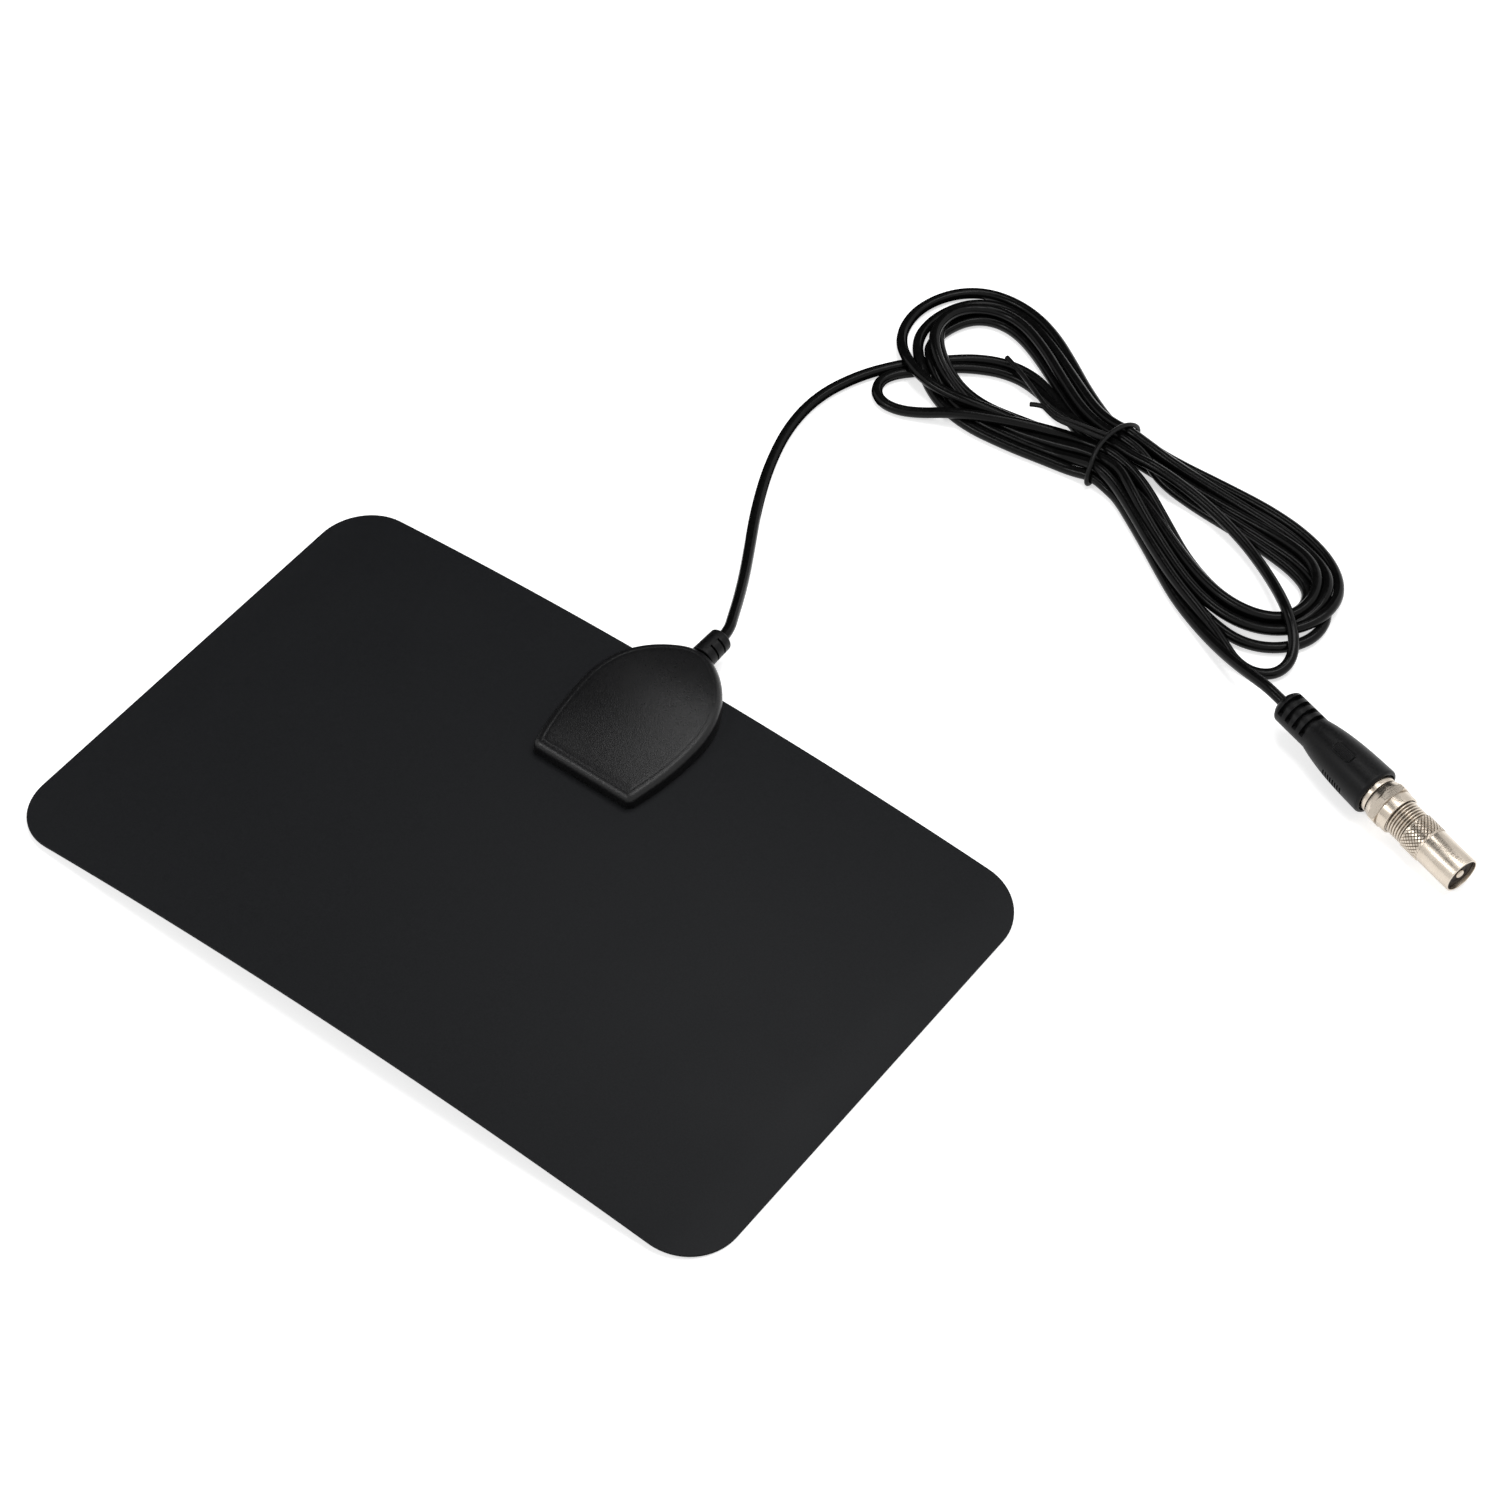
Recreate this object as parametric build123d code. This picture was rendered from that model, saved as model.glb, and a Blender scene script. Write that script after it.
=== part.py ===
from build123d import *
import math
import os

# A flat indoor TV antenna lying on a table. A thin laminated panel holds two foil elements and
# arches over a small clamp housing at the middle of its far edge. A coaxial cable leaves the
# housing, is tied in a hank and ends in a plug with a swivel nut and a screwed-on adapter.
# Millimetres. X runs along the panel, Y runs towards the cable, Z is up from the table.

# Clearance between pieces that are glued or moulded together, and of the shells on the panel
seat_gap = 0.02
clamp_gap = 0.05

# Panel: two films laminated over the foil
panel_length = 210.0
panel_width = 130.0
panel_corner_radius = 14.0
panel_rise = 5.8
film_thickness = 0.35
foil_thickness = 0.12
foil_margin = 9.0
foil_gap = 6.0
foil_feed_width = 10.0
notch_width = 7.0
notch_depth = 8.0

# Housing outline seen from above, and its two shells
housing_front_width = 29.7
housing_width = 36.2
housing_reach = 40.4
housing_overhang = 6.8
nose_length = 24.0
nose_radius = 10.0
front_corner_radius = 2.0
wall = 1.6
roof_thickness = 1.5
floor_thickness = 1.5
nose_wall = 5.0
rim_radius = 1.8
foot_radius = 1.0
sheet_edge_gap = 0.15

# Crown of the housing over the panel: share of its length from the front, then the heights
# at the sides and on the middle line
crown_overlap = 1.5
crown_sections = (
    (-0.03, 3.1, 3.3),
    (0.24, 3.6, 4.8),
    (0.49, 4.1, 5.8),
    (0.67, 4.7, 6.1),
    (0.84, 4.5, 5.5),
    (1.03, 3.9, 4.1),
)

# Pegs of the bottom shell, which pass through the panel into sockets of the top shell
peg_radius = 1.5
peg_spacing = 22.0
peg_inset = 13.4
peg_height = 1.9
peg_socket_depth = 2.1
peg_boss_radius = 3.0
peg_socket_clearance = 0.05
peg_hole_clearance = 0.15

# Matching board riveted through the panel to the foil, and its balun core
board_width = 16.0
board_length = 12.0
board_thickness = 1.0
board_setback = 7.0
rivet_spacing = 10.0
rivet_setback = 14.0
rivet_radius = 1.0
rivet_head_radius = 1.6
rivet_head_height = 0.4
balun_radius = 2.2
balun_bore_radius = 1.0
balun_height = 2.2
balun_setback = 12.5

# Cable and its strain relief
cable_radius = 1.45
core_radius = 0.45
cable_axis_z = 7.4
cable_stripped_end = 5.2
core_end = 9.5
gland_length = 8.0
gland_flange_radius = 3.2
gland_flange_length = 2.1
gland_neck_radius = 2.3
gland_root_radius = 3.3
gland_root_length = 0.6
gland_tip_radius = 3.1
gland_end_fillet = 0.6
gland_slot_width = 0.6
gland_slot_radius = 2.2
gland_slot_web = 1.6
gland_slots = (2.6, 5.3)

# Cable between the gland and the hank, after its first straight run out of the gland
lead_first_run = 6.0
lead_points = (
    (-2.2, 90.8, 5.9),
    (-8.6, 100.3, 2.9),
    (-15.6, 110.6, 1.5),
    (-23.0, 122.2, 1.5),
    (-29.3, 134.6, 1.5),
    (-33.4, 147.8, 1.5),
    (-33.6, 161.2, 1.5),
    (-29.6, 173.3, 1.5),
    (-22.8, 183.4, 1.5),
)

# Hank of cable: place of its tied waist, heading, and its outline and two eyes seen from above
hank_x = 39.5
hank_y = 188.9
hank_heading = -1.34
hank_height = 8.4
hank_top_chamfer = 2.0
hank_foot_chamfer = 1.0
hank_outline = (
    (74.5, -8), (76, -17), (74.5, -29), (70.5, -36), (63, -38), (53, -36), (40, -31.5), (28, -25),
    (16, -17.5), (0, -11.5), (-16, -13), (-32, -17.6), (-47, -18), (-60, -19.8), (-65.5, -15.5),
    (-67.5, -6), (-70.8, 4), (-71.5, 12), (-69.3, 19.5), (-64.5, 25.8), (-57.5, 30), (-50, 31),
    (-43, 30), (-36, 27.2), (-27, 22), (-18, 16.5), (-9, 12.2), (0, 10.4), (14, 11.3), (31, 13.4),
    (47, 13.4), (58, 10.8), (66.5, 6), (71.5, -1),
)
left_eye = (
    (-20, 3), (-29, 10.5), (-38, 16.5), (-47, 19), (-54, 16.5), (-56.5, 10.5), (-53.5, 4.5), (-46, 0.6),
    (-36, -0.6), (-27, 0.8),
)
right_eye = (
    (14, -3), (22, -2.8), (31, -3), (42, -4), (50, -6.6), (56, -10.5), (59, -15), (56.5, -18),
    (50, -18.8), (42, -17), (33, -13.2), (23, -7.8),
)

# Twist tie round the waist
tie_radius = 0.65
tie_width = 22.2
tie_height = 7.0
tie_corner_radius = 3.0

# Cable between the hank and the plug, in the hank's own frame, before its last two points
tail_points = (
    (50.0, -33.4, 1.9),
    (58.0, -36.9, 3.4),
    (66.0, -40.1, 5.6),
    (72.5, -42.3, 7.6),
)
tail_last_run = 5.5

# Plug: place and heading of its rear end, then its pieces from the boot to the adapter
plug_x = 120.98
plug_y = 141.9
plug_heading = -15.14
boot_roll = 15.0
boot_length = 33.0
boot_end_radius = 2.9
boot_end_length = 1.2
boot_rib_radius = 4.35
boot_groove_radius = 3.4
boot_groove_width = 1.1
boot_groove_web = 5.0
boot_grooves = (2.7, 5.2, 7.7, 10.2)
boot_ribs_length = 11.4
boot_flare = ((15.6, 5.25), (21.5, 6.0))
boot_rim_radius = 6.5
boot_rim_length = 1.0
boot_rim_fillet = 0.7
boot_recess_radius = 5.6
boot_recess_depth = 0.8
pad_place = 22.0
pad_length = 6.4
pad_width = 3.3
pad_corner_radius = 1.2
pad_height = 0.18
side_grooves = 8
side_groove_start = 20.6
side_groove_pitch = 0.9
side_groove_width = 0.45
side_groove_depth = 0.45
side_groove_span = 3.6
cable_in_boot = 22.0
stem_radius = 4.0
stem_bore_radius = 2.2
ring_radius = 5.5
ring_length = 1.3
neck_radius = 3.6
neck_length = 2.2
flange_radius = 4.3
flange_length = 1.0
insulator_setback = 2.0
insulator_recess = 0.2
core_reach = 5.8

# Swivel nut, which turns on the neck and screws onto the adapter
nut_rear_gap = 0.2
nut_length = 7.7
nut_cone_length = 2.6
nut_cone_radius = 5.65
nut_hex_length = 4.8
nut_across_flats = 11.0
nut_rear_radius = 5.1
nut_corner_chamfer = 0.6
nut_corner_radius = 6.25
nut_collar_radius = 5.35
nut_flange_length = 1.8
nut_bore_clearance = 0.08
nut_thread_clearance = 0.05

# Adapter from the screw thread to the push-in sleeve
adapter_gap = 0.15
thread_radius = 4.75
thread_length = 9.55
knurl_radius = 4.95
knurl_length = 5.6
sleeve_radius = 4.75
sleeve_length = 10.7
sleeve_wall = 0.45
adapter_rear_bore_radius = 3.6
adapter_rear_bore_length = 7.65
adapter_web_length = 2.0
adapter_web_bore_radius = 2.0
rear_insulator_recess = 0.25
front_insulator_recess = 0.9
pin_radius = 1.2
pin_setback = 1.65
pin_recess = 0.3
pin_nose_radius = 0.5
pin_socket_depth = 7.0
pin_socket_clearance = 0.1

# Places that follow from the sizes above
sheet_y = -housing_overhang / 2
far_edge = sheet_y + panel_width / 2
front_y = far_edge - housing_reach
tip_y = far_edge + housing_overhang
widest_y = tip_y - nose_length
housing_length = housing_reach + housing_overhang
panel_thickness = 2 * film_thickness + seat_gap
panel_top = panel_rise + panel_thickness
arch_radius = (panel_length ** 2 / 4 + panel_rise ** 2) / (2 * panel_rise)
above_all = 20.0


# A solid filled up to the arched surface at a height over the panel's underside
def arch(height):
    middle = Pos(0, sheet_y, panel_rise - arch_radius)
    return middle * Rot(90, 0, 0) * Cylinder(arch_radius + height, 2 * panel_width)


# A layer of the arched panel between two heights over its underside, cut to a flat outline
def layer(plan, low, high):
    return (Pos(0, 0, -1) * extrude(plan, above_all) & arch(high)) - arch(low)


# An upright cylinder that stands at a place and a height
def post(x, y, z, radius, height):
    return Pos(x, y, z) * Cylinder(radius, height, align=(Align.CENTER, Align.CENTER, Align.MIN))


# A body turned about the cable's line through the housing, from radius and Y pairs
def turned_on_cable(points):
    profile = make_face(Polyline(*points, close=True))
    return Pos(0, 0, cable_axis_z) * revolve(profile, Axis.Y)


# A body turned about the plug's own axis, from radius and length pairs
def turned_on_plug(points):
    return revolve(Plane.XZ * make_face(Polyline(*points, close=True)), Axis.Z)


# A round tube on the plug's own axis
def plug_tube(start, end, radius, bore):
    return turned_on_plug(((bore, start), (radius, start), (radius, end), (bore, end)))


# A round tube along a path
def tube(path, radius):
    return sweep(Plane(origin=path @ 0, z_dir=path % 0) * Circle(radius), path)


# A cord on straight runs joined by tangent arcs, with its bend radii and volume printed,
# and the slightly wider tube that makes room for it
def cord(name, points):
    places = [Vector(*p) for p in points]
    radii = []
    for before, at, after in zip(places, places[1:], places[2:]):
        half_turn = math.radians((at - before).get_angle(after - at)) / 2
        shorter = min((at - before).length, (after - at).length)
        radii.append(0.45 * shorter / math.tan(half_turn))
    path = FilletPolyline(*places, radius=radii)
    solid = tube(path, cable_radius)
    section = math.pi * cable_radius ** 2
    print(name, "radii", [round(r, 1) for r in radii], "smallest allowed", 10 * cable_radius)
    print(name, "volume", round(solid.volume, 1), "section x length", round(section * path.length, 1))
    return solid, tube(path, cable_radius + seat_gap)


# Panel films and foil elements
peg_places = [(side * peg_spacing / 2, front_y + peg_inset) for side in (-1, 1)]
rivet_places = [(side * rivet_spacing / 2, far_edge - rivet_setback) for side in (-1, 1)]
panel_plan = Pos(0, sheet_y) * RectangleRounded(panel_length, panel_width, panel_corner_radius)
panel_plan -= Pos(0, far_edge) * Rectangle(notch_width, 2 * notch_depth)
for x, y in peg_places:
    panel_plan -= Pos(x, y) * Circle(peg_radius + peg_hole_clearance)
for x, y in rivet_places:
    panel_plan -= Pos(x, y) * Circle(rivet_radius + seat_gap)

foil_outer_x = panel_length / 2 - foil_margin
foil_half_width = panel_width / 2 - foil_margin
feed_y = far_edge - rivet_setback
wing_plan = make_face(
    Polyline(
        (foil_gap / 2, feed_y - foil_feed_width / 2),
        (foil_outer_x, sheet_y - foil_half_width),
        (foil_outer_x, sheet_y + foil_half_width),
        (foil_gap / 2, feed_y + foil_feed_width / 2),
        close=True,
    )
)
wing_plan -= Pos(rivet_spacing / 2, feed_y) * Circle(rivet_radius + seat_gap)
for x, y in peg_places:
    wing_plan -= Pos(x, y) * Circle(peg_radius + 2 * peg_hole_clearance)
right_element = layer(wing_plan, film_thickness - foil_thickness, film_thickness)
left_element = mirror(right_element, Plane.YZ)
back_film = layer(panel_plan, 0, film_thickness) - right_element - left_element
front_film = layer(panel_plan, film_thickness + seat_gap, panel_thickness)

# Housing outline: bowed sides, two shoulder arcs and a round nose, mirrored about the middle
half_width = housing_width / 2
nose_y = tip_y - nose_radius
nose_run = nose_y - widest_y
shoulder_radius = (half_width ** 2 + nose_run ** 2 - nose_radius ** 2) / (2 * (half_width - nose_radius))
nose_share = nose_radius / (shoulder_radius - nose_radius)
nose_start = (nose_share * (shoulder_radius - half_width), nose_y + nose_share * nose_run)
side = TangentArc((half_width, widest_y), (housing_front_width / 2, front_y), tangent=(0, -1))
shoulder = TangentArc((half_width, widest_y), nose_start, tangent=(0, 1))
nose = ThreePointArc(nose_start, (0, tip_y), (-nose_start[0], nose_start[1]))
front = Line((-housing_front_width / 2, front_y), (housing_front_width / 2, front_y))
halves = [side, shoulder, mirror(side, Plane.YZ), mirror(shoulder, Plane.YZ)]
housing_plan = make_face(halves + [nose, front])
housing_plan = fillet(housing_plan.vertices().sort_by(Axis.Y)[:2], front_corner_radius)
hollow_plan = offset(housing_plan, -wall)
hollow_plan -= Pos(0, tip_y) * Rectangle(housing_width, 2 * nose_wall)

# Crown of the top shell, lofted through its cross-sections
sections = []
crown_half = half_width + crown_overlap
for share, side_height, middle_height in crown_sections:
    low = panel_top + side_height
    bow = ThreePointArc((crown_half, low), (0, panel_top + middle_height), (-crown_half, low))
    box = Polyline((-crown_half, low), (-crown_half, 0), (crown_half, 0), (crown_half, low))
    place = Plane((0, front_y + share * housing_length, 0), (1, 0, 0), (0, -1, 0))
    sections.append(place * make_face([bow, box]))
crown = loft(sections)

# Strain relief: flange inside the nose wall, neck through it, slotted sleeve outside
gland_end = tip_y + gland_length
nose_inside = tip_y - nose_wall
gland_bore_radius = cable_radius + seat_gap
cable_gland = turned_on_cable(
    (
        (gland_bore_radius, nose_inside - gland_flange_length),
        (gland_flange_radius, nose_inside - gland_flange_length),
        (gland_flange_radius, nose_inside),
        (gland_neck_radius, nose_inside),
        (gland_neck_radius, tip_y),
        (gland_root_radius, tip_y),
        (gland_root_radius, tip_y + gland_root_length),
        (gland_tip_radius, gland_end),
        (gland_bore_radius, gland_end),
    )
)
gland_rim = cable_gland.edges().group_by(Axis.Y)[-1].sort_by(SortBy.RADIUS)[-1]
cable_gland = fillet(gland_rim, gland_end_fillet)
for place in gland_slots:
    near = tip_y + place - gland_slot_width / 2
    far = near + gland_slot_width
    slot = turned_on_cable(
        ((gland_slot_radius, near), (above_all, near), (above_all, far), (gland_slot_radius, far))
    )
    slot -= Pos(0, tip_y + place, cable_axis_z) * Box(gland_slot_web, 2 * gland_slot_width, 3 * above_all)
    cable_gland -= slot
gland_bed = turned_on_cable(
    (
        (0, nose_inside - gland_flange_length - seat_gap),
        (gland_flange_radius + seat_gap, nose_inside - gland_flange_length - seat_gap),
        (gland_flange_radius + seat_gap, nose_inside + seat_gap),
        (gland_neck_radius + seat_gap, nose_inside + seat_gap),
        (gland_neck_radius + seat_gap, gland_end),
        (0, gland_end),
    )
)

# Top shell: crowned cover with two peg sockets
top_block = extrude(housing_plan, above_all) & crown
rim = top_block.edges().filter_by(lambda e: e.bounding_box().min.Z > panel_top)
top_block = fillet(rim, rim_radius)
hollow = extrude(hollow_plan, above_all) & Pos(0, 0, -roof_thickness) * crown
top_shell = top_block - hollow
for x, y in peg_places:
    top_shell += post(x, y, 0, peg_boss_radius, above_all) & top_block
    top_shell -= post(x, y, 0, peg_radius + peg_socket_clearance, panel_top + peg_socket_depth)
top_shell -= arch(panel_thickness + clamp_gap)
top_shell -= gland_bed

# Bottom shell: tray that rests on the table under the panel, with two pegs
edge_block = Pos(0, far_edge + sheet_edge_gap - panel_width) * Rectangle(panel_length, 2 * panel_width)
panel_room = extrude(edge_block, above_all) - arch(-clamp_gap)
bottom_block = extrude(housing_plan, above_all) & arch(panel_thickness)
bottom_block = fillet(bottom_block.faces().sort_by(Axis.Z)[0].edges(), foot_radius)
bottom_shell = bottom_block - Pos(0, 0, floor_thickness) * extrude(hollow_plan, above_all)
for x, y in peg_places:
    bottom_shell += post(x, y, 0, peg_boss_radius, above_all) & bottom_block
bottom_shell -= panel_room
for x, y in peg_places:
    bottom_shell += post(x, y, floor_thickness, peg_radius, panel_top + peg_height - floor_thickness)
bottom_shell -= gland_bed

# Matching board on the panel, its balun core and the two rivets into the foil
board_y = far_edge - board_setback - board_length / 2
board_top = panel_top + board_thickness
board_plan = Pos(0, board_y) * Rectangle(board_width, board_length)
core_slot_end = far_edge - core_end
core_slot = Rectangle(2 * (core_radius + seat_gap), board_length)
board_plan -= Pos(0, core_slot_end - seat_gap + board_length / 2) * core_slot
for x, y in rivet_places:
    board_plan -= Pos(x, y) * Circle(rivet_radius + seat_gap)
matching_board = extrude(board_plan, board_top) - arch(panel_thickness + seat_gap)
balun_core = post(0, far_edge - balun_setback, board_top, balun_radius, balun_height)
balun_core -= post(0, far_edge - balun_setback, 0, balun_bore_radius, above_all)
rivets = []
for x, y in rivet_places:
    foot = panel_rise - seat_gap - rivet_head_height
    shank = post(x, y, foot, rivet_radius, board_top - foot)
    tail = post(x, y, foot, rivet_head_radius, above_all) & arch(-seat_gap)
    head = post(x, y, board_top, rivet_head_radius, rivet_head_height)
    rivets.append(shank + tail + head)
left_rivet, right_rivet = rivets

# Cable end inside the housing, stripped to its core at the board
jacket_end = far_edge - cable_stripped_end
cable_inlet = turned_on_cable(
    (
        (0, core_slot_end),
        (core_radius, core_slot_end),
        (core_radius, jacket_end),
        (cable_radius, jacket_end),
        (cable_radius, gland_end),
        (0, gland_end),
    )
)
lead_start = ((0, gland_end, cable_axis_z), (0, gland_end + lead_first_run, cable_axis_z))
cable_lead, lead_room = cord("cable_lead", lead_start + lead_points)

# Plug frame: it lies on the boot's rim and on the end of the sleeve
nut_start = boot_length - boot_recess_depth + ring_length + nut_rear_gap
flange_end = boot_length - boot_recess_depth + ring_length + neck_length + flange_length
adapter_start = flange_end + adapter_gap
thread_end = adapter_start + thread_length
knurl_end = thread_end + knurl_length
plug_length = knurl_end + sleeve_length
dip = math.atan2(boot_rim_radius - sleeve_radius, plug_length - boot_length)
heading = math.radians(plug_heading)
plug_z = boot_rim_radius * math.cos(dip) + boot_length * math.sin(dip)
plug_rear = Vector(plug_x, plug_y, plug_z)
plug_axis = Vector(
    math.cos(dip) * math.cos(heading),
    math.cos(dip) * math.sin(heading),
    -math.sin(dip),
)
plug_across = Vector(math.sin(heading), -math.cos(heading), 0)
plug = Plane(plug_rear, plug_across, plug_axis).location
print("plug rear", plug_rear, "axis", plug_axis, "length", round(plug_length, 3))

# Hank, tied at the waist, and the cable from it to the plug
hank = Plane((hank_x, hank_y, 0)).location * Rot(0, 0, hank_heading)
hank_plan = make_face(Spline(*hank_outline, periodic=True))
for eye in (left_eye, right_eye):
    hank_plan -= make_face(Spline(*eye, periodic=True))
cable_hank = extrude(hank_plan, hank_height)
cable_hank = chamfer(cable_hank.faces().sort_by(Axis.Z)[-1].edges(), hank_top_chamfer)
cable_hank = chamfer(cable_hank.faces().sort_by(Axis.Z)[0].edges(), hank_foot_chamfer)
tie_place = Plane((0, 0, tie_height / 2 + tie_radius), (0, 1, 0), (1, 0, 0))
tie_path = RectangleRounded(tie_width, tie_height, tie_corner_radius).wire()
tie_section = Plane(origin=tie_path @ 0, z_dir=tie_path % 0) * Circle(tie_radius)
twist_tie = tie_place * sweep(tie_section, tie_path)
groove_half = tie_radius + seat_gap
groove_plan = Rectangle(2 * tie_width, 2 * tie_width) - RectangleRounded(
    tie_width - 2 * groove_half, tie_height - 2 * groove_half, tie_corner_radius - groove_half
)
cable_hank -= tie_place * Pos(0, 0, -groove_half) * extrude(groove_plan, 2 * groove_half)
cable_hank = hank * cable_hank
twist_tie = hank * twist_tie
tail_places = [(hank * Pos(*p)).position for p in tail_points]
tail_places += [plug_rear - plug_axis * tail_last_run, plug_rear]
cable_tail, tail_room = cord("cable_tail", [tuple(p) for p in tail_places])
cable_hank = cable_hank - lead_room - tail_room

# Plug boot: slotted tail that flares to a round rim, moulded over the cable and the stem
recess_floor = boot_length - boot_recess_depth


# The boot's solid outside, grown or shrunk by an amount
def boot_form(growth):
    flare = Spline(
        (boot_rib_radius + growth, boot_ribs_length),
        *[(radius + growth, length) for length, radius in boot_flare],
        (boot_rim_radius + growth, boot_length - boot_rim_length),
    )
    tail = Polyline(
        (0, 0),
        (boot_end_radius + growth, 0),
        (boot_rib_radius + growth, boot_end_length),
        flare @ 0,
    )
    rim = Polyline(flare @ 1, (boot_rim_radius + growth, boot_length), (0, boot_length), (0, 0))
    return revolve(Plane.XZ * make_face([tail, flare, rim]), Axis.Z)


plug_boot = boot_form(0)
plug_boot = fillet(plug_boot.edges().group_by(Axis.Z)[-1], boot_rim_fillet)
for place in boot_grooves:
    near = place - boot_groove_width / 2
    groove = plug_tube(near, near + boot_groove_width, above_all, boot_groove_radius)
    plug_boot -= groove - Pos(0, 0, place) * Box(3 * above_all, boot_groove_web, 2 * boot_groove_width)
skin = boot_form(0) - boot_form(-side_groove_depth)
for turn in range(side_grooves):
    place = side_groove_start + turn * side_groove_pitch
    plug_boot -= skin & Pos(0, 0, place) * Box(above_all, side_groove_span, side_groove_width)
pad_plan = Plane.XZ * Pos(0, pad_place) * RectangleRounded(pad_width, pad_length, pad_corner_radius)
plug_boot += extrude(pad_plan, above_all, both=True) & boot_form(pad_height)
plug_boot -= plug_tube(0, cable_in_boot, cable_radius + seat_gap, 0)
plug_boot -= plug_tube(cable_in_boot, recess_floor, stem_radius + seat_gap, 0)
plug_boot -= plug_tube(recess_floor, boot_length, boot_recess_radius, 0)
plug_boot = Rot(0, 0, boot_roll) * plug_boot

# Connector body that carries the swivel nut, its insulator, and the cable inside the plug
neck_start = recess_floor + ring_length
neck_end = neck_start + neck_length
connector_body = plug_tube(cable_in_boot, recess_floor, stem_radius, stem_bore_radius)
connector_body += plug_tube(recess_floor, neck_start, ring_radius, stem_bore_radius)
connector_body += plug_tube(neck_start, neck_end, neck_radius, stem_bore_radius)
connector_body += plug_tube(neck_end, flange_end, flange_radius, stem_bore_radius)
connector_insulator = plug_tube(
    cable_in_boot + insulator_setback,
    flange_end - insulator_recess,
    stem_bore_radius - seat_gap,
    core_radius + seat_gap,
)
cable_plug_end = plug_tube(0, cable_in_boot, cable_radius, 0)
cable_core = plug_tube(cable_in_boot, flange_end + core_reach, core_radius, 0)

# Swivel nut: coned rear, hexagon and round collar, with a flange that runs on the neck
nut_end = nut_start + nut_length
cone_end = nut_start + nut_cone_length
hex_end = nut_start + nut_hex_length
hexagon = extrude(RegularPolygon(nut_across_flats / 2, 6, major_radius=False), nut_hex_length)
corner_trim = turned_on_plug(
    (
        (0, nut_start),
        (nut_rear_radius, nut_start),
        (nut_cone_radius, cone_end),
        (nut_corner_radius, cone_end + nut_corner_chamfer),
        (nut_corner_radius, hex_end),
        (0, hex_end),
    )
)
coupling_nut = Pos(0, 0, nut_start) * hexagon & corner_trim
coupling_nut += plug_tube(hex_end, nut_end, nut_collar_radius, 0)
coupling_nut -= plug_tube(nut_start, nut_end, neck_radius + nut_bore_clearance, 0)
coupling_nut -= plug_tube(nut_start + nut_flange_length, nut_end, thread_radius + nut_thread_clearance, 0)

# Adapter: threaded end, knurled grip and push-in sleeve, with insulators and a centre pin
rear_bore_end = adapter_start + adapter_rear_bore_length
front_bore_start = rear_bore_end + adapter_web_length
front_bore_radius = sleeve_radius - sleeve_wall
adapter_body = plug_tube(adapter_start, thread_end, thread_radius, 0)
adapter_body += plug_tube(thread_end, knurl_end, knurl_radius, 0)
adapter_body += plug_tube(knurl_end, plug_length, sleeve_radius, 0)
adapter_body -= plug_tube(adapter_start, rear_bore_end, adapter_rear_bore_radius, 0)
adapter_body -= plug_tube(rear_bore_end, front_bore_start, adapter_web_bore_radius, 0)
adapter_body -= plug_tube(front_bore_start, plug_length, front_bore_radius, 0)
pin_start = adapter_start + pin_setback
pin_end = plug_length - pin_recess
socket_radius = core_radius + pin_socket_clearance
adapter_rear_insulator = plug_tube(
    adapter_start + rear_insulator_recess,
    rear_bore_end,
    adapter_rear_bore_radius - seat_gap,
    socket_radius,
)
adapter_rear_insulator -= plug_tube(pin_start, rear_bore_end, pin_radius + seat_gap, 0)
adapter_front_insulator = plug_tube(
    front_bore_start,
    plug_length - front_insulator_recess,
    front_bore_radius - seat_gap,
    pin_radius + seat_gap,
)
adapter_pin = plug_tube(pin_start, pin_end, pin_radius, 0)
adapter_pin = fillet(adapter_pin.edges().sort_by(Axis.Z)[-1], pin_nose_radius)
adapter_pin -= plug_tube(pin_start, pin_start + pin_socket_depth, socket_radius, 0)

nodes = {
    "front_film": front_film,
    "back_film": back_film,
    "left_element": left_element,
    "right_element": right_element,
    "top_shell": top_shell,
    "bottom_shell": bottom_shell,
    "matching_board": matching_board,
    "balun_core": balun_core,
    "left_rivet": left_rivet,
    "right_rivet": right_rivet,
    "cable_gland": cable_gland,
    "cable_inlet": cable_inlet,
    "cable_lead": cable_lead,
    "cable_hank": cable_hank,
    "cable_tail": cable_tail,
    "twist_tie": twist_tie,
    "cable_plug_end": plug * cable_plug_end,
    "cable_core": plug * cable_core,
    "plug_boot": plug * plug_boot,
    "connector_body": plug * connector_body,
    "connector_insulator": plug * connector_insulator,
    "coupling_nut": plug * coupling_nut,
    "adapter_body": plug * adapter_body,
    "adapter_rear_insulator": plug * adapter_rear_insulator,
    "adapter_front_insulator": plug * adapter_front_insulator,
    "adapter_pin": plug * adapter_pin,
}
os.makedirs("parts", exist_ok=True)
for node, shape in nodes.items():
    export_step(shape, f"parts/{node}.step")
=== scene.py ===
import bmesh
import bpy
import math
import numpy as np
from mathutils import Matrix, Vector


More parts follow.
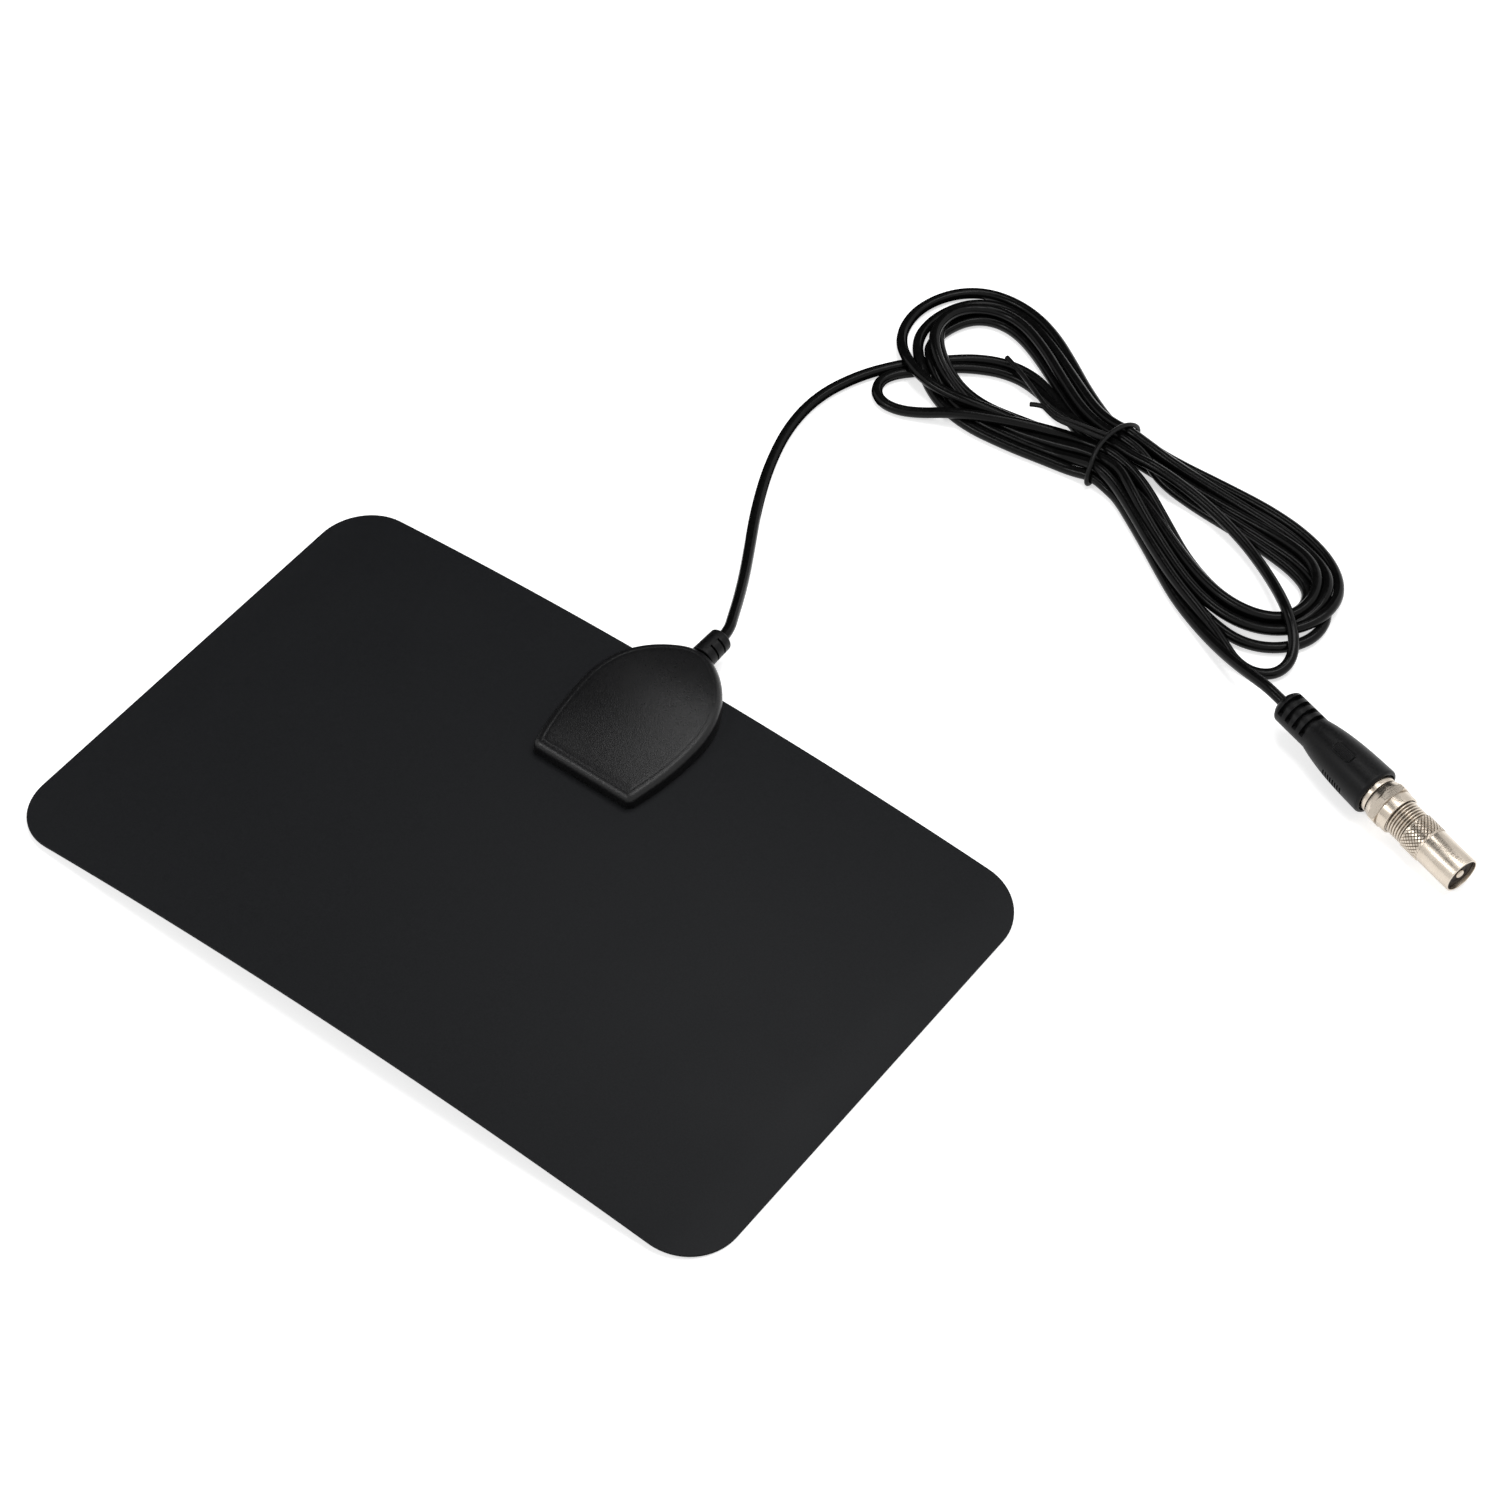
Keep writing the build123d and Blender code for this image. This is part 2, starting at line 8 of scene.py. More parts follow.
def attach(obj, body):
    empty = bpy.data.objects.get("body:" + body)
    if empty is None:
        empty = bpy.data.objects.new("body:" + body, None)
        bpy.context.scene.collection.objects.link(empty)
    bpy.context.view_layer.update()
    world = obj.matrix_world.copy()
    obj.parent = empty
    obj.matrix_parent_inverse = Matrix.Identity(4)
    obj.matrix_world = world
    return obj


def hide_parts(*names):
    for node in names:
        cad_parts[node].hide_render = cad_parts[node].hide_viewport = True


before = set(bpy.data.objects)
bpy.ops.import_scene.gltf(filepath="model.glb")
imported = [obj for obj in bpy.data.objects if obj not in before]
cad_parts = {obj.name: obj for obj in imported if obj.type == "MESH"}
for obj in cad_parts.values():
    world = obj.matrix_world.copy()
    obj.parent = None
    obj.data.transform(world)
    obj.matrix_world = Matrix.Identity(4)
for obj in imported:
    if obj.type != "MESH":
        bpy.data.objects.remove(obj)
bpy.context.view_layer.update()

# Studio: a pale paper floor under a white sky, with a large soft lamp above, a weaker one in front and
# a small one for the sheen on the housing. Four dark felt cards, seen only in reflections, give gloss
# and metal their tone. Its lengths are in metres, and those of the sections after it in millimetres.
scene = bpy.context.scene
scene.view_settings.view_transform = "Standard"


# One node with its settings, and its inputs as values or as links from other nodes
def add(tree, kind, settings, inputs):
    node = tree.nodes.new(kind)
    for name, value in settings.items():
        setattr(node, name, value)
    for name, value in inputs.items():
        if isinstance(value, bpy.types.NodeSocket):
            tree.links.new(value, node.inputs[name])
        else:
            node.inputs[name].default_value = value
    return node


# The linear colour of an sRGB hex code
def linear(code):
    parts = [int(code[i:i + 2], 16) / 255 for i in (1, 3, 5)]
    return [p / 12.92 if p <= 0.04045 else ((p + 0.055) / 1.055) ** 2.4 for p in parts] + [1.0]


def emptied_tree(owner):
    owner.use_nodes = True
    owner.node_tree.nodes.clear()
    return owner.node_tree


# One for rays that show the background as it is: straight, in a gloss or through something clear
def seen_directly(tree):
    path = add(tree, "ShaderNodeLightPath", {}, {})
    seen = path.outputs["Is Camera Ray"]
    for ray in ("Is Glossy Ray", "Is Transmission Ray"):
        either = {0: seen, 1: path.outputs[ray]}
        seen = add(tree, "ShaderNodeMath", {"operation": "MAXIMUM"}, either).outputs[0]
    return seen


white = linear("#ffffff")
world = bpy.data.worlds.new("studio")
scene.world = world
tree = emptied_tree(world)
soft_sky = add(tree, "ShaderNodeBackground", {}, {"Color": white, "Strength": 0.3}).outputs[0]
white_sky = add(tree, "ShaderNodeBackground", {}, {"Color": white, "Strength": 1.0}).outputs[0]
sky = add(tree, "ShaderNodeMixShader", {}, {0: seen_directly(tree), 1: soft_sky, 2: white_sky})
add(tree, "ShaderNodeOutputWorld", {}, {"Surface": sky.outputs[0]})

# Matt coated paper: it keeps the object's soft shadow, and a glow that rises with the distance makes
# the rest of it as white as the sky
floor_paper = bpy.data.materials.new("matt_coated_paper")
tree = emptied_tree(floor_paper)
paper = add(tree, "ShaderNodeBsdfDiffuse", {}, {"Color": linear("#e7e7e7")}).outputs[0]
spot = add(tree, "ShaderNodeTexCoord", {}, {}).outputs["Object"]
away = add(tree, "ShaderNodeVectorMath", {"operation": "LENGTH"}, {0: spot}).outputs["Value"]
rise = {"Value": away, "From Min": 0.4, "From Max": 1.6, "To Min": 0.62, "To Max": 0.8}
strength = add(tree, "ShaderNodeMapRange", {}, rise).outputs[0]
glow = add(tree, "ShaderNodeEmission", {}, {"Color": white, "Strength": strength}).outputs[0]
lit_paper = add(tree, "ShaderNodeAddShader", {}, {0: paper, 1: glow}).outputs[0]
ground = add(tree, "ShaderNodeMixShader", {}, {0: seen_directly(tree), 1: paper, 2: lit_paper})
add(tree, "ShaderNodeOutputMaterial", {}, {"Surface": ground.outputs[0]})

# Pressed felt: a black with no shine, so its reflection darkens what would mirror the sky
card_felt = bpy.data.materials.new("pressed_felt")
tree = emptied_tree(card_felt)
felt = add(tree, "ShaderNodeBsdfDiffuse", {}, {"Color": linear("#191919")})
add(tree, "ShaderNodeOutputMaterial", {}, {"Surface": felt.outputs[0]})


def stage_sheet(name, size, place, paint):
    bm = bmesh.new()
    bmesh.ops.create_grid(bm, x_segments=1, y_segments=1, size=size / 2)
    bmesh.ops.transform(bm, matrix=place, verts=bm.verts)
    mesh = bpy.data.meshes.new(name)
    bm.to_mesh(mesh)
    bm.free()
    mesh.materials.append(paint)
    sheet = bpy.data.objects.new(name, mesh)
    scene.collection.objects.link(sheet)
    return sheet


# A place at a distance from the aim, turned so that a card or lamp there faces it
def facing(aim, direction, distance):
    away = Vector(direction).normalized()
    turned_to = away.to_track_quat("Z", "Y").to_matrix().to_4x4()
    return Matrix.Translation(Vector(aim) + away * distance) @ turned_to


floor_size = 12.0
floor_drop = 0.0001
stage_sheet("floor", floor_size, Matrix.Translation((0, 0, -floor_drop)), floor_paper)
for name, aim, direction, distance, size in (
    ("far_card", (0.0, 0.02, 0.0), (-0.47, 0.5, 0.72), 0.9, 1.25),
    ("side_card", (0.0, 0.04, 0.0), (-0.75, 0.66, 0.02), 0.8, 1.2),
    ("low_card", (-0.27, 0.314, 0.0002), (0, 0, 1), 0.0, 0.5),
    ("near_card", (0.165, 0.13, 0.0), (-0.42, -0.40, 0.82), 0.9, 0.42),
):
    card = stage_sheet(name, size, facing(aim, direction, distance), card_felt)
    card.visible_camera = False
    card.visible_diffuse = False
    card.visible_shadow = False

lamp_aim = (0.04, 0.07, 0)
for name, direction, distance, size, power in (
    ("key_lamp", (0.06, 0.31, 0.95), 1.3, 0.8, 11.0),
    ("fill_lamp", (-0.38, -0.6, 0.7), 1.6, 0.4, 5.0),
    ("sheen_lamp", (-0.26, 0.37, 0.89), 0.757, 0.16, 0.5),
):
    lamp = bpy.data.lights.new(name, "AREA")
    lamp.size = size
    lamp.energy = power
    holder = bpy.data.objects.new(name, lamp)
    holder.matrix_world = facing(lamp_aim, direction, distance)
    scene.collection.objects.link(holder)

# The camera looks down over the panel's near right corner, through a long lens
azimuth = math.radians(37.349)
elevation = math.radians(51.043)
camera_aim = Vector((0.023202, 0.057462, 0))
camera_distance = 1.008386
flat_share = math.cos(elevation)
view_back = Vector((math.sin(azimuth) * flat_share, -math.cos(azimuth) * flat_share, math.sin(elevation)))
view_right = Vector((math.cos(azimuth), math.sin(azimuth), 0))
view_up = view_back.cross(view_right)
view_turn = Matrix((view_right, view_up, view_back)).transposed().to_4x4()
lens = bpy.data.cameras.new("camera")
lens.lens = 100.06
lens.sensor_width = 36.0
lens.clip_start = 0.01
lens.clip_end = 50.0
camera = bpy.data.objects.new("camera", lens)
camera.matrix_world = Matrix.Translation(camera_aim + view_back * camera_distance) @ view_turn
scene.collection.objects.link(camera)
scene.camera = camera

# Panel: two matte black polyester films, hot-laminated over the foil and die-cut with round
# corners. The housing under its middle lifts it into a low arch, and its cut edge is rounded a little.
panel_length = 210.0
panel_width = 130.0
panel_corner = 14.0
panel_y = -3.4
panel_rise = 5.8
film_thickness = 0.35
film_gap = 0.02
film_strips = 90
cut_edge_radius = 0.16
panel_thickness = 2 * film_thickness + film_gap
arch_radius = (panel_length ** 2 / 4 + panel_rise ** 2) / (2 * panel_rise)
right_angle_test = 1.2
level_test = 0.01
to_metres = Matrix.Scale(0.001, 4)
x_axis = Vector((1, 0, 0))
y_axis = Vector((0, 1, 0))


def new_finish(name):
    finish = bpy.data.materials.new(name)
    tree = emptied_tree(finish)
    place = add(tree, "ShaderNodeTexCoord", {}, {}).outputs["Object"]
    shader = add(tree, "ShaderNodeBsdfPrincipled", {}, {})
    add(tree, "ShaderNodeOutputMaterial", {}, {"Surface": shader.outputs[0]})
    return finish, tree, place, shader


# A plastic: a fine grain of two tones, dull and glossy in turn, and broad patches that handling has
# polished. The grain's width and depth are in mm.
def plastic(name, dark, light, grain, depth, gloss, matte, specular):
    handled_patch = 25.0
    finish, tree, place, shader = new_finish(name)
    fine = {"Vector": place, "Scale": 1000 / grain, "Detail": 3.0}
    grit = add(tree, "ShaderNodeTexNoise", {}, fine).outputs[0]
    broad = {"Vector": place, "Scale": 1000 / handled_patch, "Detail": 2.0}
    patch = add(tree, "ShaderNodeTexNoise", {}, broad).outputs[0]
    tone = add(tree, "ShaderNodeMapRange", {}, {"Value": grit, "From Min": 0.3, "From Max": 0.7}).outputs[0]
    tones = {"Factor": tone, "A": linear(dark), "B": linear(light)}
    colour = add(tree, "ShaderNodeMix", {"data_type": "RGBA"}, tones).outputs["Result"]
    sum_of = {0: patch, 1: 0.6, 2: grit}
    both = add(tree, "ShaderNodeMath", {"operation": "MULTIPLY_ADD"}, sum_of).outputs[0]
    wear = {"Value": both, "From Min": 0.5, "From Max": 1.1, "To Min": gloss, "To Max": matte}
    rough = add(tree, "ShaderNodeMapRange", {}, wear).outputs[0]
    relief = {"Height": grit, "Strength": 1.0, "Distance": depth / 1000}
    normal = add(tree, "ShaderNodeBump", {}, relief).outputs[0]
    tree.links.new(colour, shader.inputs["Base Color"])
    tree.links.new(rough, shader.inputs["Roughness"])
    tree.links.new(normal, shader.inputs["Normal"])
    shader.inputs["Specular IOR Level"].default_value = specular
    return finish


# A piece made from its bmesh: placed, smoothed up to the crease angle, and put on its body
def finished(name, bm, place, finish, body, replaced, crease=40):
    bmesh.ops.transform(bm, matrix=place, verts=bm.verts)
    bmesh.ops.recalc_face_normals(bm, faces=bm.faces)
    mesh = bpy.data.meshes.new(name)
    bm.to_mesh(mesh)
    bm.free()
    mesh.materials.append(finish)
    mesh.shade_smooth()
    mesh.set_sharp_from_angle(angle=math.radians(crease))
    made = bpy.data.objects.new(name, mesh)
    scene.collection.objects.link(made)
    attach(made, body)
    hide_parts(*replaced)
    return made


def whole(bm):
    return bm.verts[:] + bm.edges[:] + bm.faces[:]


def only(geom, kind):
    return [g for g in geom if isinstance(g, kind)]


def rounded_plate(length, width, corner, segments):
    bm = bmesh.new()
    bmesh.ops.create_grid(bm, x_segments=1, y_segments=1, size=0.5)
    bmesh.ops.scale(bm, vec=(length, width, 1), verts=bm.verts)
    bmesh.ops.bevel(
        bm, geom=bm.verts[:], offset=corner, affect="VERTICES", segments=segments, profile=0.5, material=-1
    )
    return bm


def sliced(bm, axis, places):
    for place in places:
        bmesh.ops.bisect_plane(bm, geom=whole(bm), dist=1e-5, plane_co=axis * place, plane_no=axis)


# A plate drawn up into a closed solid
def thickened(bm, height):
    raised = bmesh.ops.extrude_face_region(bm, geom=bm.faces[:])["geom"]
    bmesh.ops.translate(bm, vec=(0, 0, height), verts=only(raised, bmesh.types.BMVert))
    bmesh.ops.recalc_face_normals(bm, faces=bm.faces)


# The height above the table of a layer that lies so far above the panel's underside
def arch_height(x, layer):
    return panel_rise - arch_radius + math.sqrt((arch_radius + layer) ** 2 - x * x)


# Hot-laminated polyester: an even, dull black with only a broad, weak sheen. Its real grain is too fine
# to show, so it is drawn at 0.4 mm.
film = plastic(
    "hot_laminated_polyester", "#111214", "#18191b",
    grain=0.4, depth=0.006, gloss=0.5, matte=0.62, specular=0.115,
)


def panel_film(name, underside):
    bm = rounded_plate(panel_length, panel_width, panel_corner, segments=16)
    sliced(bm, x_axis, [panel_length * (i / film_strips - 0.5) for i in range(1, film_strips)])
    thickened(bm, film_thickness)
    rim = [
        e for e in bm.edges
        if e.calc_face_angle() > right_angle_test and abs(e.verts[0].co.z - e.verts[1].co.z) < level_test
    ]
    bmesh.ops.bevel(
        bm, geom=rim, offset=cut_edge_radius, affect="EDGES", segments=2, profile=0.5, material=-1
    )
    for v in bm.verts:
        v.co.y += panel_y
        v.co.z = arch_height(v.co.x, underside + v.co.z)
    finished(name + "_sheet", bm, to_metres, film, "antenna", [name])


panel_film("back_film", 0.0)
panel_film("front_film", film_thickness + film_gap)

# Foil elements: two wings of rolled aluminium foil, sealed between the films and riveted at their
# inner ends. Rolling leaves fine streaks along them, which dull the shine in bands.
streak_width = 0.6
streak_squeeze = (0.05, 1, 1)
foil, tree, place, shader = new_finish("rolled_aluminium")
along_wing = add(tree, "ShaderNodeMapping", {}, {"Vector": place, "Scale": streak_squeeze}).outputs[0]
lines = {"Vector": along_wing, "Scale": 1000 / streak_width, "Detail": 2.0}
streak = add(tree, "ShaderNodeTexNoise", {}, lines).outputs[0]
tones = {"Factor": streak, "A": linear("#c4c6c8"), "B": linear("#d6d7d8")}
colour = add(tree, "ShaderNodeMix", {"data_type": "RGBA"}, tones).outputs["Result"]
bands = {"Value": streak, "From Min": 0.3, "From Max": 0.7, "To Min": 0.28, "To Max": 0.45}
rough = add(tree, "ShaderNodeMapRange", {}, bands).outputs[0]
tree.links.new(colour, shader.inputs["Base Color"])
tree.links.new(rough, shader.inputs["Roughness"])
shader.inputs["Metallic"].default_value = 1.0


def dressed(finish, *names):
    for name in names:
        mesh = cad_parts[name].data
        mesh.materials.clear()
        mesh.materials.append(finish)


dressed(foil, "left_element", "right_element")

# Housing: a lower and an upper shell of black ABS, moulded in a spark-eroded tool and pegged
# together through the panel. The crowned upper shell has a full round rim and a shallow line inside it.
front_half = 14.85
half_width = 18.1
front_y = 21.2
widest_y = 44.4
tip_y = 68.4
nose_radius = 10.0
front_corner = 2.0
rim_radius = 1.8
rim_steps = 8
rim_line = ((0.25, -0.03), (0.2, -0.03), (0.2, 0.02), (0.35, 0.04))
clamp_gap = 0.05
crown_half = 19.6
crown_shares = (-0.03, 0.24, 0.49, 0.67, 0.84, 1.03)
crown_sides = (3.1, 3.6, 4.1, 4.7, 4.5, 3.9)
crown_middles = (3.3, 4.8, 5.8, 6.1, 5.5, 4.1)
crown_grid = 1.2
crown_front_margin = 4.0
crown_tip_margin = 2.0
crown_rows = np.arange(front_y + crown_front_margin, tip_y - crown_tip_margin, crown_grid)
crown_columns = crown_grid * np.arange(-14, 15)
plan_wall = 1.0
upward_test = 0.9
flat_test = 0.999

# Spark-eroded ABS: a dark satin, whose fine grain breaks the highlight on the crown into soft sparkle.
# The grain is drawn at 0.3 mm, as fine as still shows.
abs_shell = plastic(
    "spark_eroded_abs", "#0d0d0e", "#151516",
    grain=0.3, depth=0.06, gloss=0.25, matte=0.37, specular=0.29,
)
dressed(abs_shell, "bottom_shell")
side_curve = np.polyfit(crown_shares, crown_sides, len(crown_shares) - 1)
middle_curve = np.polyfit(crown_shares, crown_middles, len(crown_shares) - 1)


def crown_height(x, y):
    share = (y - front_y) / (tip_y - front_y)
    side = np.polyval(side_curve, share)
    middle = np.polyval(middle_curve, share)
    return panel_rise + panel_thickness + side + (middle - side) * (1 - (x / crown_half) ** 2)


def arc_on(bm, vert, centre, angle, steps):
    spun = bmesh.ops.spin(
        bm, geom=[vert], cent=(*centre, 0), axis=(0, 0, 1), angle=angle, steps=steps
    )
    return only(spun["geom_last"], bmesh.types.BMVert)[0]


# Half the plan as a front edge and three arcs that run into each other, then its mirror image
nose_run = tip_y - nose_radius - widest_y
shoulder_radius = (half_width ** 2 + nose_run ** 2 - nose_radius ** 2) / (2 * (half_width - nose_radius))
nose_angle = math.atan2(shoulder_radius - half_width, nose_run)
side_run = widest_y - front_y
side_inset = half_width - front_half
side_radius = (side_run ** 2 + side_inset ** 2) / (2 * side_inset)
side_angle = math.asin(side_run / side_radius)
bm = bmesh.new()
middle_front = bm.verts.new((0, front_y, 0))
corner = bm.verts.new((front_half, front_y, 0))
bm.edges.new((middle_front, corner))
at = arc_on(bm, corner, (half_width - side_radius, widest_y), side_angle, steps=8)
at = arc_on(bm, at, (half_width - shoulder_radius, widest_y), math.pi / 2 - nose_angle, steps=28)
arc_on(bm, at, (0, tip_y - nose_radius), nose_angle, steps=12)
bmesh.ops.mirror(bm, geom=bm.verts[:] + bm.edges[:], axis="X", merge_dist=0.01)
bmesh.ops.remove_doubles(bm, verts=bm.verts, dist=0.01)
bmesh.ops.contextual_create(bm, geom=bm.edges[:])
corners = [v for v in bm.verts if v.co.y < front_y + level_test and abs(v.co.x) > front_half / 2]
corner_run = front_corner / math.tan(math.pi / 4 + side_angle / 2)
bmesh.ops.bevel(
    bm, geom=corners, offset=corner_run, affect="VERTICES", segments=8, profile=0.5, material=-1
)

# The wall, the round rim in small insets, and the line inside it. The rim uses up the round of the two
# front corners, so each of them is closed to one point before the line is drawn.
thickened(bm, plan_wall)
roof = [f for f in bm.faces if f.normal.z > upward_test]
rim_turns = [math.pi / 2 * i / rim_steps for i in range(rim_steps + 1)]
for a, b in zip(rim_turns, rim_turns[1:]):
    inward = rim_radius * (math.cos(a) - math.cos(b))
    upward = rim_radius * (math.sin(b) - math.sin(a))
    bmesh.ops.inset_region(bm, faces=roof, thickness=inward, depth=upward, use_even_offset=True)
merge_from_x = front_half - front_corner - 1
merge_to_y = front_y + front_corner + 0.4
for side in (-1, 1):
    inner_corner = [
        v for f in roof for v in f.verts if side * v.co.x > merge_from_x and v.co.y < merge_to_y
    ]
    middle = sum((v.co for v in inner_corner), Vector()) / len(inner_corner)
    bmesh.ops.pointmerge(bm, verts=inner_corner, merge_co=middle)
for inward, upward in rim_line:
    bmesh.ops.inset_region(bm, faces=roof, thickness=inward, depth=upward, use_even_offset=True)

# A grid over the flat roof, and then the wall's foot is set on the panel and its top on the crown
for axis, places in ((y_axis, crown_rows), (x_axis, crown_columns)):
    for place in places:
        inner = [f for f in bm.faces if f.normal.z > flat_test]
        edges = {e for f in inner for e in f.edges}
        verts = {v for f in inner for v in f.verts}
        geom = inner + list(edges) + list(verts)
        bmesh.ops.bisect_plane(bm, geom=geom, dist=1e-4, plane_co=axis * float(place), plane_no=axis)
for v in bm.verts:
    if v.co.z < plan_wall / 2:
        v.co.z = arch_height(v.co.x, panel_thickness + clamp_gap)
    else:
        v.co.z += crown_height(v.co.x, v.co.y) - plan_wall - rim_radius
finished("upper_shell", bm, to_metres, abs_shell, "antenna", ["top_shell"], crease=60)

# Matching board, balun core and rivets: a small circuit board with a ferrite ring, riveted to the
# foil with brass rivets, all closed in under the upper shell.
# Screen-printed lacquer is a smooth, wet-looking green, and sintered ferrite a dull, gritty grey.
lacquer = plastic(
    "screen_printed_lacquer", "#17482a", "#1f5c35",
    grain=0.8, depth=0.01, gloss=0.3, matte=0.42, specular=0.5,
)
ferrite = plastic(
    "sintered_ferrite", "#2f2d2b", "#403d3a",
    grain=0.25, depth=0.02, gloss=0.55, matte=0.7, specular=0.4,
)
dressed(lacquer, "matching_board")
dressed(ferrite, "balun_core")


# A bare metal that has tarnished in small clouds, darker and brighter in turn. The cloud is in mm.
def tarnished(name, dark, light, cloud):
    finish, tree, place, shader = new_finish(name)
    clouds = {"Vector": place, "Scale": 1000 / cloud, "Detail": 3.0}
    tarnish = add(tree, "ShaderNodeTexNoise", {}, clouds).outputs[0]
    tones = {"Factor": tarnish, "A": linear(dark), "B": linear(light)}
    colour = add(tree, "ShaderNodeMix", {"data_type": "RGBA"}, tones).outputs["Result"]
    rough = add(tree, "ShaderNodeMapRange", {}, {"Value": tarnish, "To Min": 0.2, "To Max": 0.4}).outputs[0]
    tree.links.new(colour, shader.inputs["Base Color"])
    tree.links.new(rough, shader.inputs["Roughness"])
    shader.inputs["Metallic"].default_value = 1.0
    return finish


# Turned brass: a warm yellow with a clear shine
brass = tarnished("turned_brass", "#b8944f", "#d3b26c", cloud=0.7)
dressed(brass, "left_rivet", "right_rivet")

# Strain relief: a soft black PVC sleeve, moulded on the cable and clipped into the housing's nose.
# Its two pairs of slots let it bend with the cable.
cable_radius = 1.45
cable_fit = 0.02
cable_z = 7.4
gland_end = 76.4
gland_length = gland_end - tip_y
gland_stem_length = 4.6
gland_stem_radius = 2.3
gland_collar = 0.6
gland_radius = 3.3
gland_end_radius = 3.1
gland_slots = (2.6, 5.3)
gland_slot_width = 0.6
gland_slot_radius = 2.2
gland_web = 1.6

# Soft moulded PVC: a deep black with a faint, waxy sheen
soft_pvc = plastic(
    "soft_moulded_pvc", "#0a0a0b", "#111112",
    grain=0.5, depth=0.02, gloss=0.34, matte=0.48, specular=0.14,
)


# A chain of edges through points of radius and length, in the plane where a spin starts
def chain(bm, points):
    verts = [bm.verts.new((radius, 0, length)) for radius, length in points]
    for a, b in zip(verts, verts[1:]):
        bm.edges.new((a, b))
    return verts


# A body turned about the Z axis from a closed profile of radius, length and corner rounding
def turned(profile, steps=96):
    bm = bmesh.new()
    verts = chain(bm, [(radius, length) for radius, length, rounding in profile])
    bm.edges.new((verts[-1], verts[0]))
    for vert, (radius, length, rounding) in zip(verts, profile):
        if rounding:
            bmesh.ops.bevel(
                bm, geom=[vert], offset=rounding, affect="VERTICES", segments=4, profile=0.5, material=-1
            )
    bmesh.ops.spin(
        bm, geom=bm.verts[:] + bm.edges[:], cent=(0, 0, 0), axis=(0, 0, 1), angle=math.tau, steps=steps,
        use_merge=True,
    )
    bmesh.ops.remove_doubles(bm, verts=bm.verts, dist=1e-4)
    bmesh.ops.recalc_face_normals(bm, faces=bm.faces)
    return bm


def slot_edges(places, width):
    return sorted(place + side * width / 2 for place in places for side in (-1, 1))


# A row of slots sunk into the skin of a turned body, on the sides where a test of the middle holds
def sunk(bm, places, width, on_side, new_radius):
    picked = []
    for face in bm.faces:
        middle = face.calc_center_median()
        is_skin = face.normal.xy.dot(middle.xy) > 0 and abs(face.normal.z) < 0.5
        if is_skin and on_side(middle) and any(abs(middle.z - s) < width / 2 for s in places):
            picked.append(face)
    moved = bmesh.ops.extrude_face_region(bm, geom=picked)["geom"]
    bmesh.ops.delete(bm, geom=picked, context="FACES")
    for v in only(moved, bmesh.types.BMVert):
        radius = v.co.xy.length
        share = new_radius(radius) / radius
        v.co.x *= share
        v.co.y *= share


gland_taper = (gland_end_radius - gland_radius) / (gland_length - gland_collar)
gland_rows = [gland_collar] + slot_edges(gland_slots, gland_slot_width)
bm = turned([
    (cable_radius + cable_fit, -gland_stem_length, 0), (gland_stem_radius, -gland_stem_length, 0),
    (gland_stem_radius, 0, 0), (gland_radius, 0, 0.25),
    *[(gland_radius + gland_taper * (s - gland_collar), s, 0) for s in gland_rows],
    (gland_end_radius, gland_length, 0.6), (cable_radius + cable_fit, gland_length, 0),
], steps=72)
sunk(
    bm, gland_slots, gland_slot_width, lambda middle: abs(middle.x) > gland_web / 2,
    lambda radius: gland_slot_radius,
)
along_cable = Matrix.Translation((0, tip_y, cable_z)) @ Matrix.Rotation(-math.pi / 2, 4, "X")
gland = finished("strain_relief", bm, to_metres @ along_cable, soft_pvc, "antenna", ["cable_gland"])

# Cable: thin black coaxial cable with an extruded PVC jacket. It lies on the table, is wound in a
# loose hank of six turns and ends in the plug.
plug_rear = Vector((120.98, 141.9, 8.42982))
plug_axis = Vector((0.963619, -0.260726, -0.058821)).normalized()
cable_in_boot = 22.0
hank_place = Matrix.Translation((39.5, 188.9, 0)) @ Matrix.Rotation(math.radians(-1.34), 4, "Z")
low_row = 2.75
high_row = 5.25
waist_reach = 6

# Extruded PVC: a very smooth black that shines in a narrow line along the cable's upper side
jacket = plastic(
    "extruded_pvc", "#080808", "#0c0c0c",
    grain=1.2, depth=0.01, gloss=0.16, matte=0.26, specular=0.13,
)
dressed(jacket, "cable_inlet")

# The route from the housing to the hank, in the part's own frame
lead_route = [
    (0, 76.4, 7.4), (-0.2, 79.6, 7.35), (-2.6, 84.4, 6.4), (-6.2, 91.4, 4.4), (-10.8, 99.8, 2.5),
    (-15.8, 108.4, 1.55), (-22.4, 119.8, 1.5), (-28.8, 133.4, 1.5), (-33.2, 147.8, 1.5),
    (-33.6, 161.2, 1.5), (-29.6, 173.3, 1.5), (-22.8, 183.4, 1.5),
]

# The ends of the hank's turns, from its tied waist: the smallest and the largest loop of each side,
# the loops that lie apart from them, and the strands that come in and go out
right_inner = [
    (13, -5.5), (23.2, -11.2), (33.8, -16.8), (43.4, -20.9), (52.2, -22.9), (60, -22.4), (66, -18.4),
    (68, -11.8), (65.6, -5.4), (59.2, -1.6), (49.5, -0.6), (38, -0.6), (25, 0.2), (14, 1.2),
]
right_outer = [
    (11, -7.8), (20.9, -14.5), (31.9, -20.7), (42.2, -24.7), (52.4, -26.6), (61.8, -25.2), (69.6, -20.2),
    (73.6, -11.6), (71.6, -1.6), (64.8, 5.8), (54.6, 9.6), (42.3, 10.9), (27.7, 9.6), (13.3, 8),
]
left_inner = [
    (-16.1, 5.9), (-25.6, 11.6), (-37, 18.6), (-45.3, 21.7), (-52.4, 21), (-57.5, 17.2), (-59.4, 11.3),
    (-57.5, 5), (-52.5, 0.4), (-45.7, -2.6), (-37.2, -3.8), (-26.3, -2.2), (-17, -0.4),
]
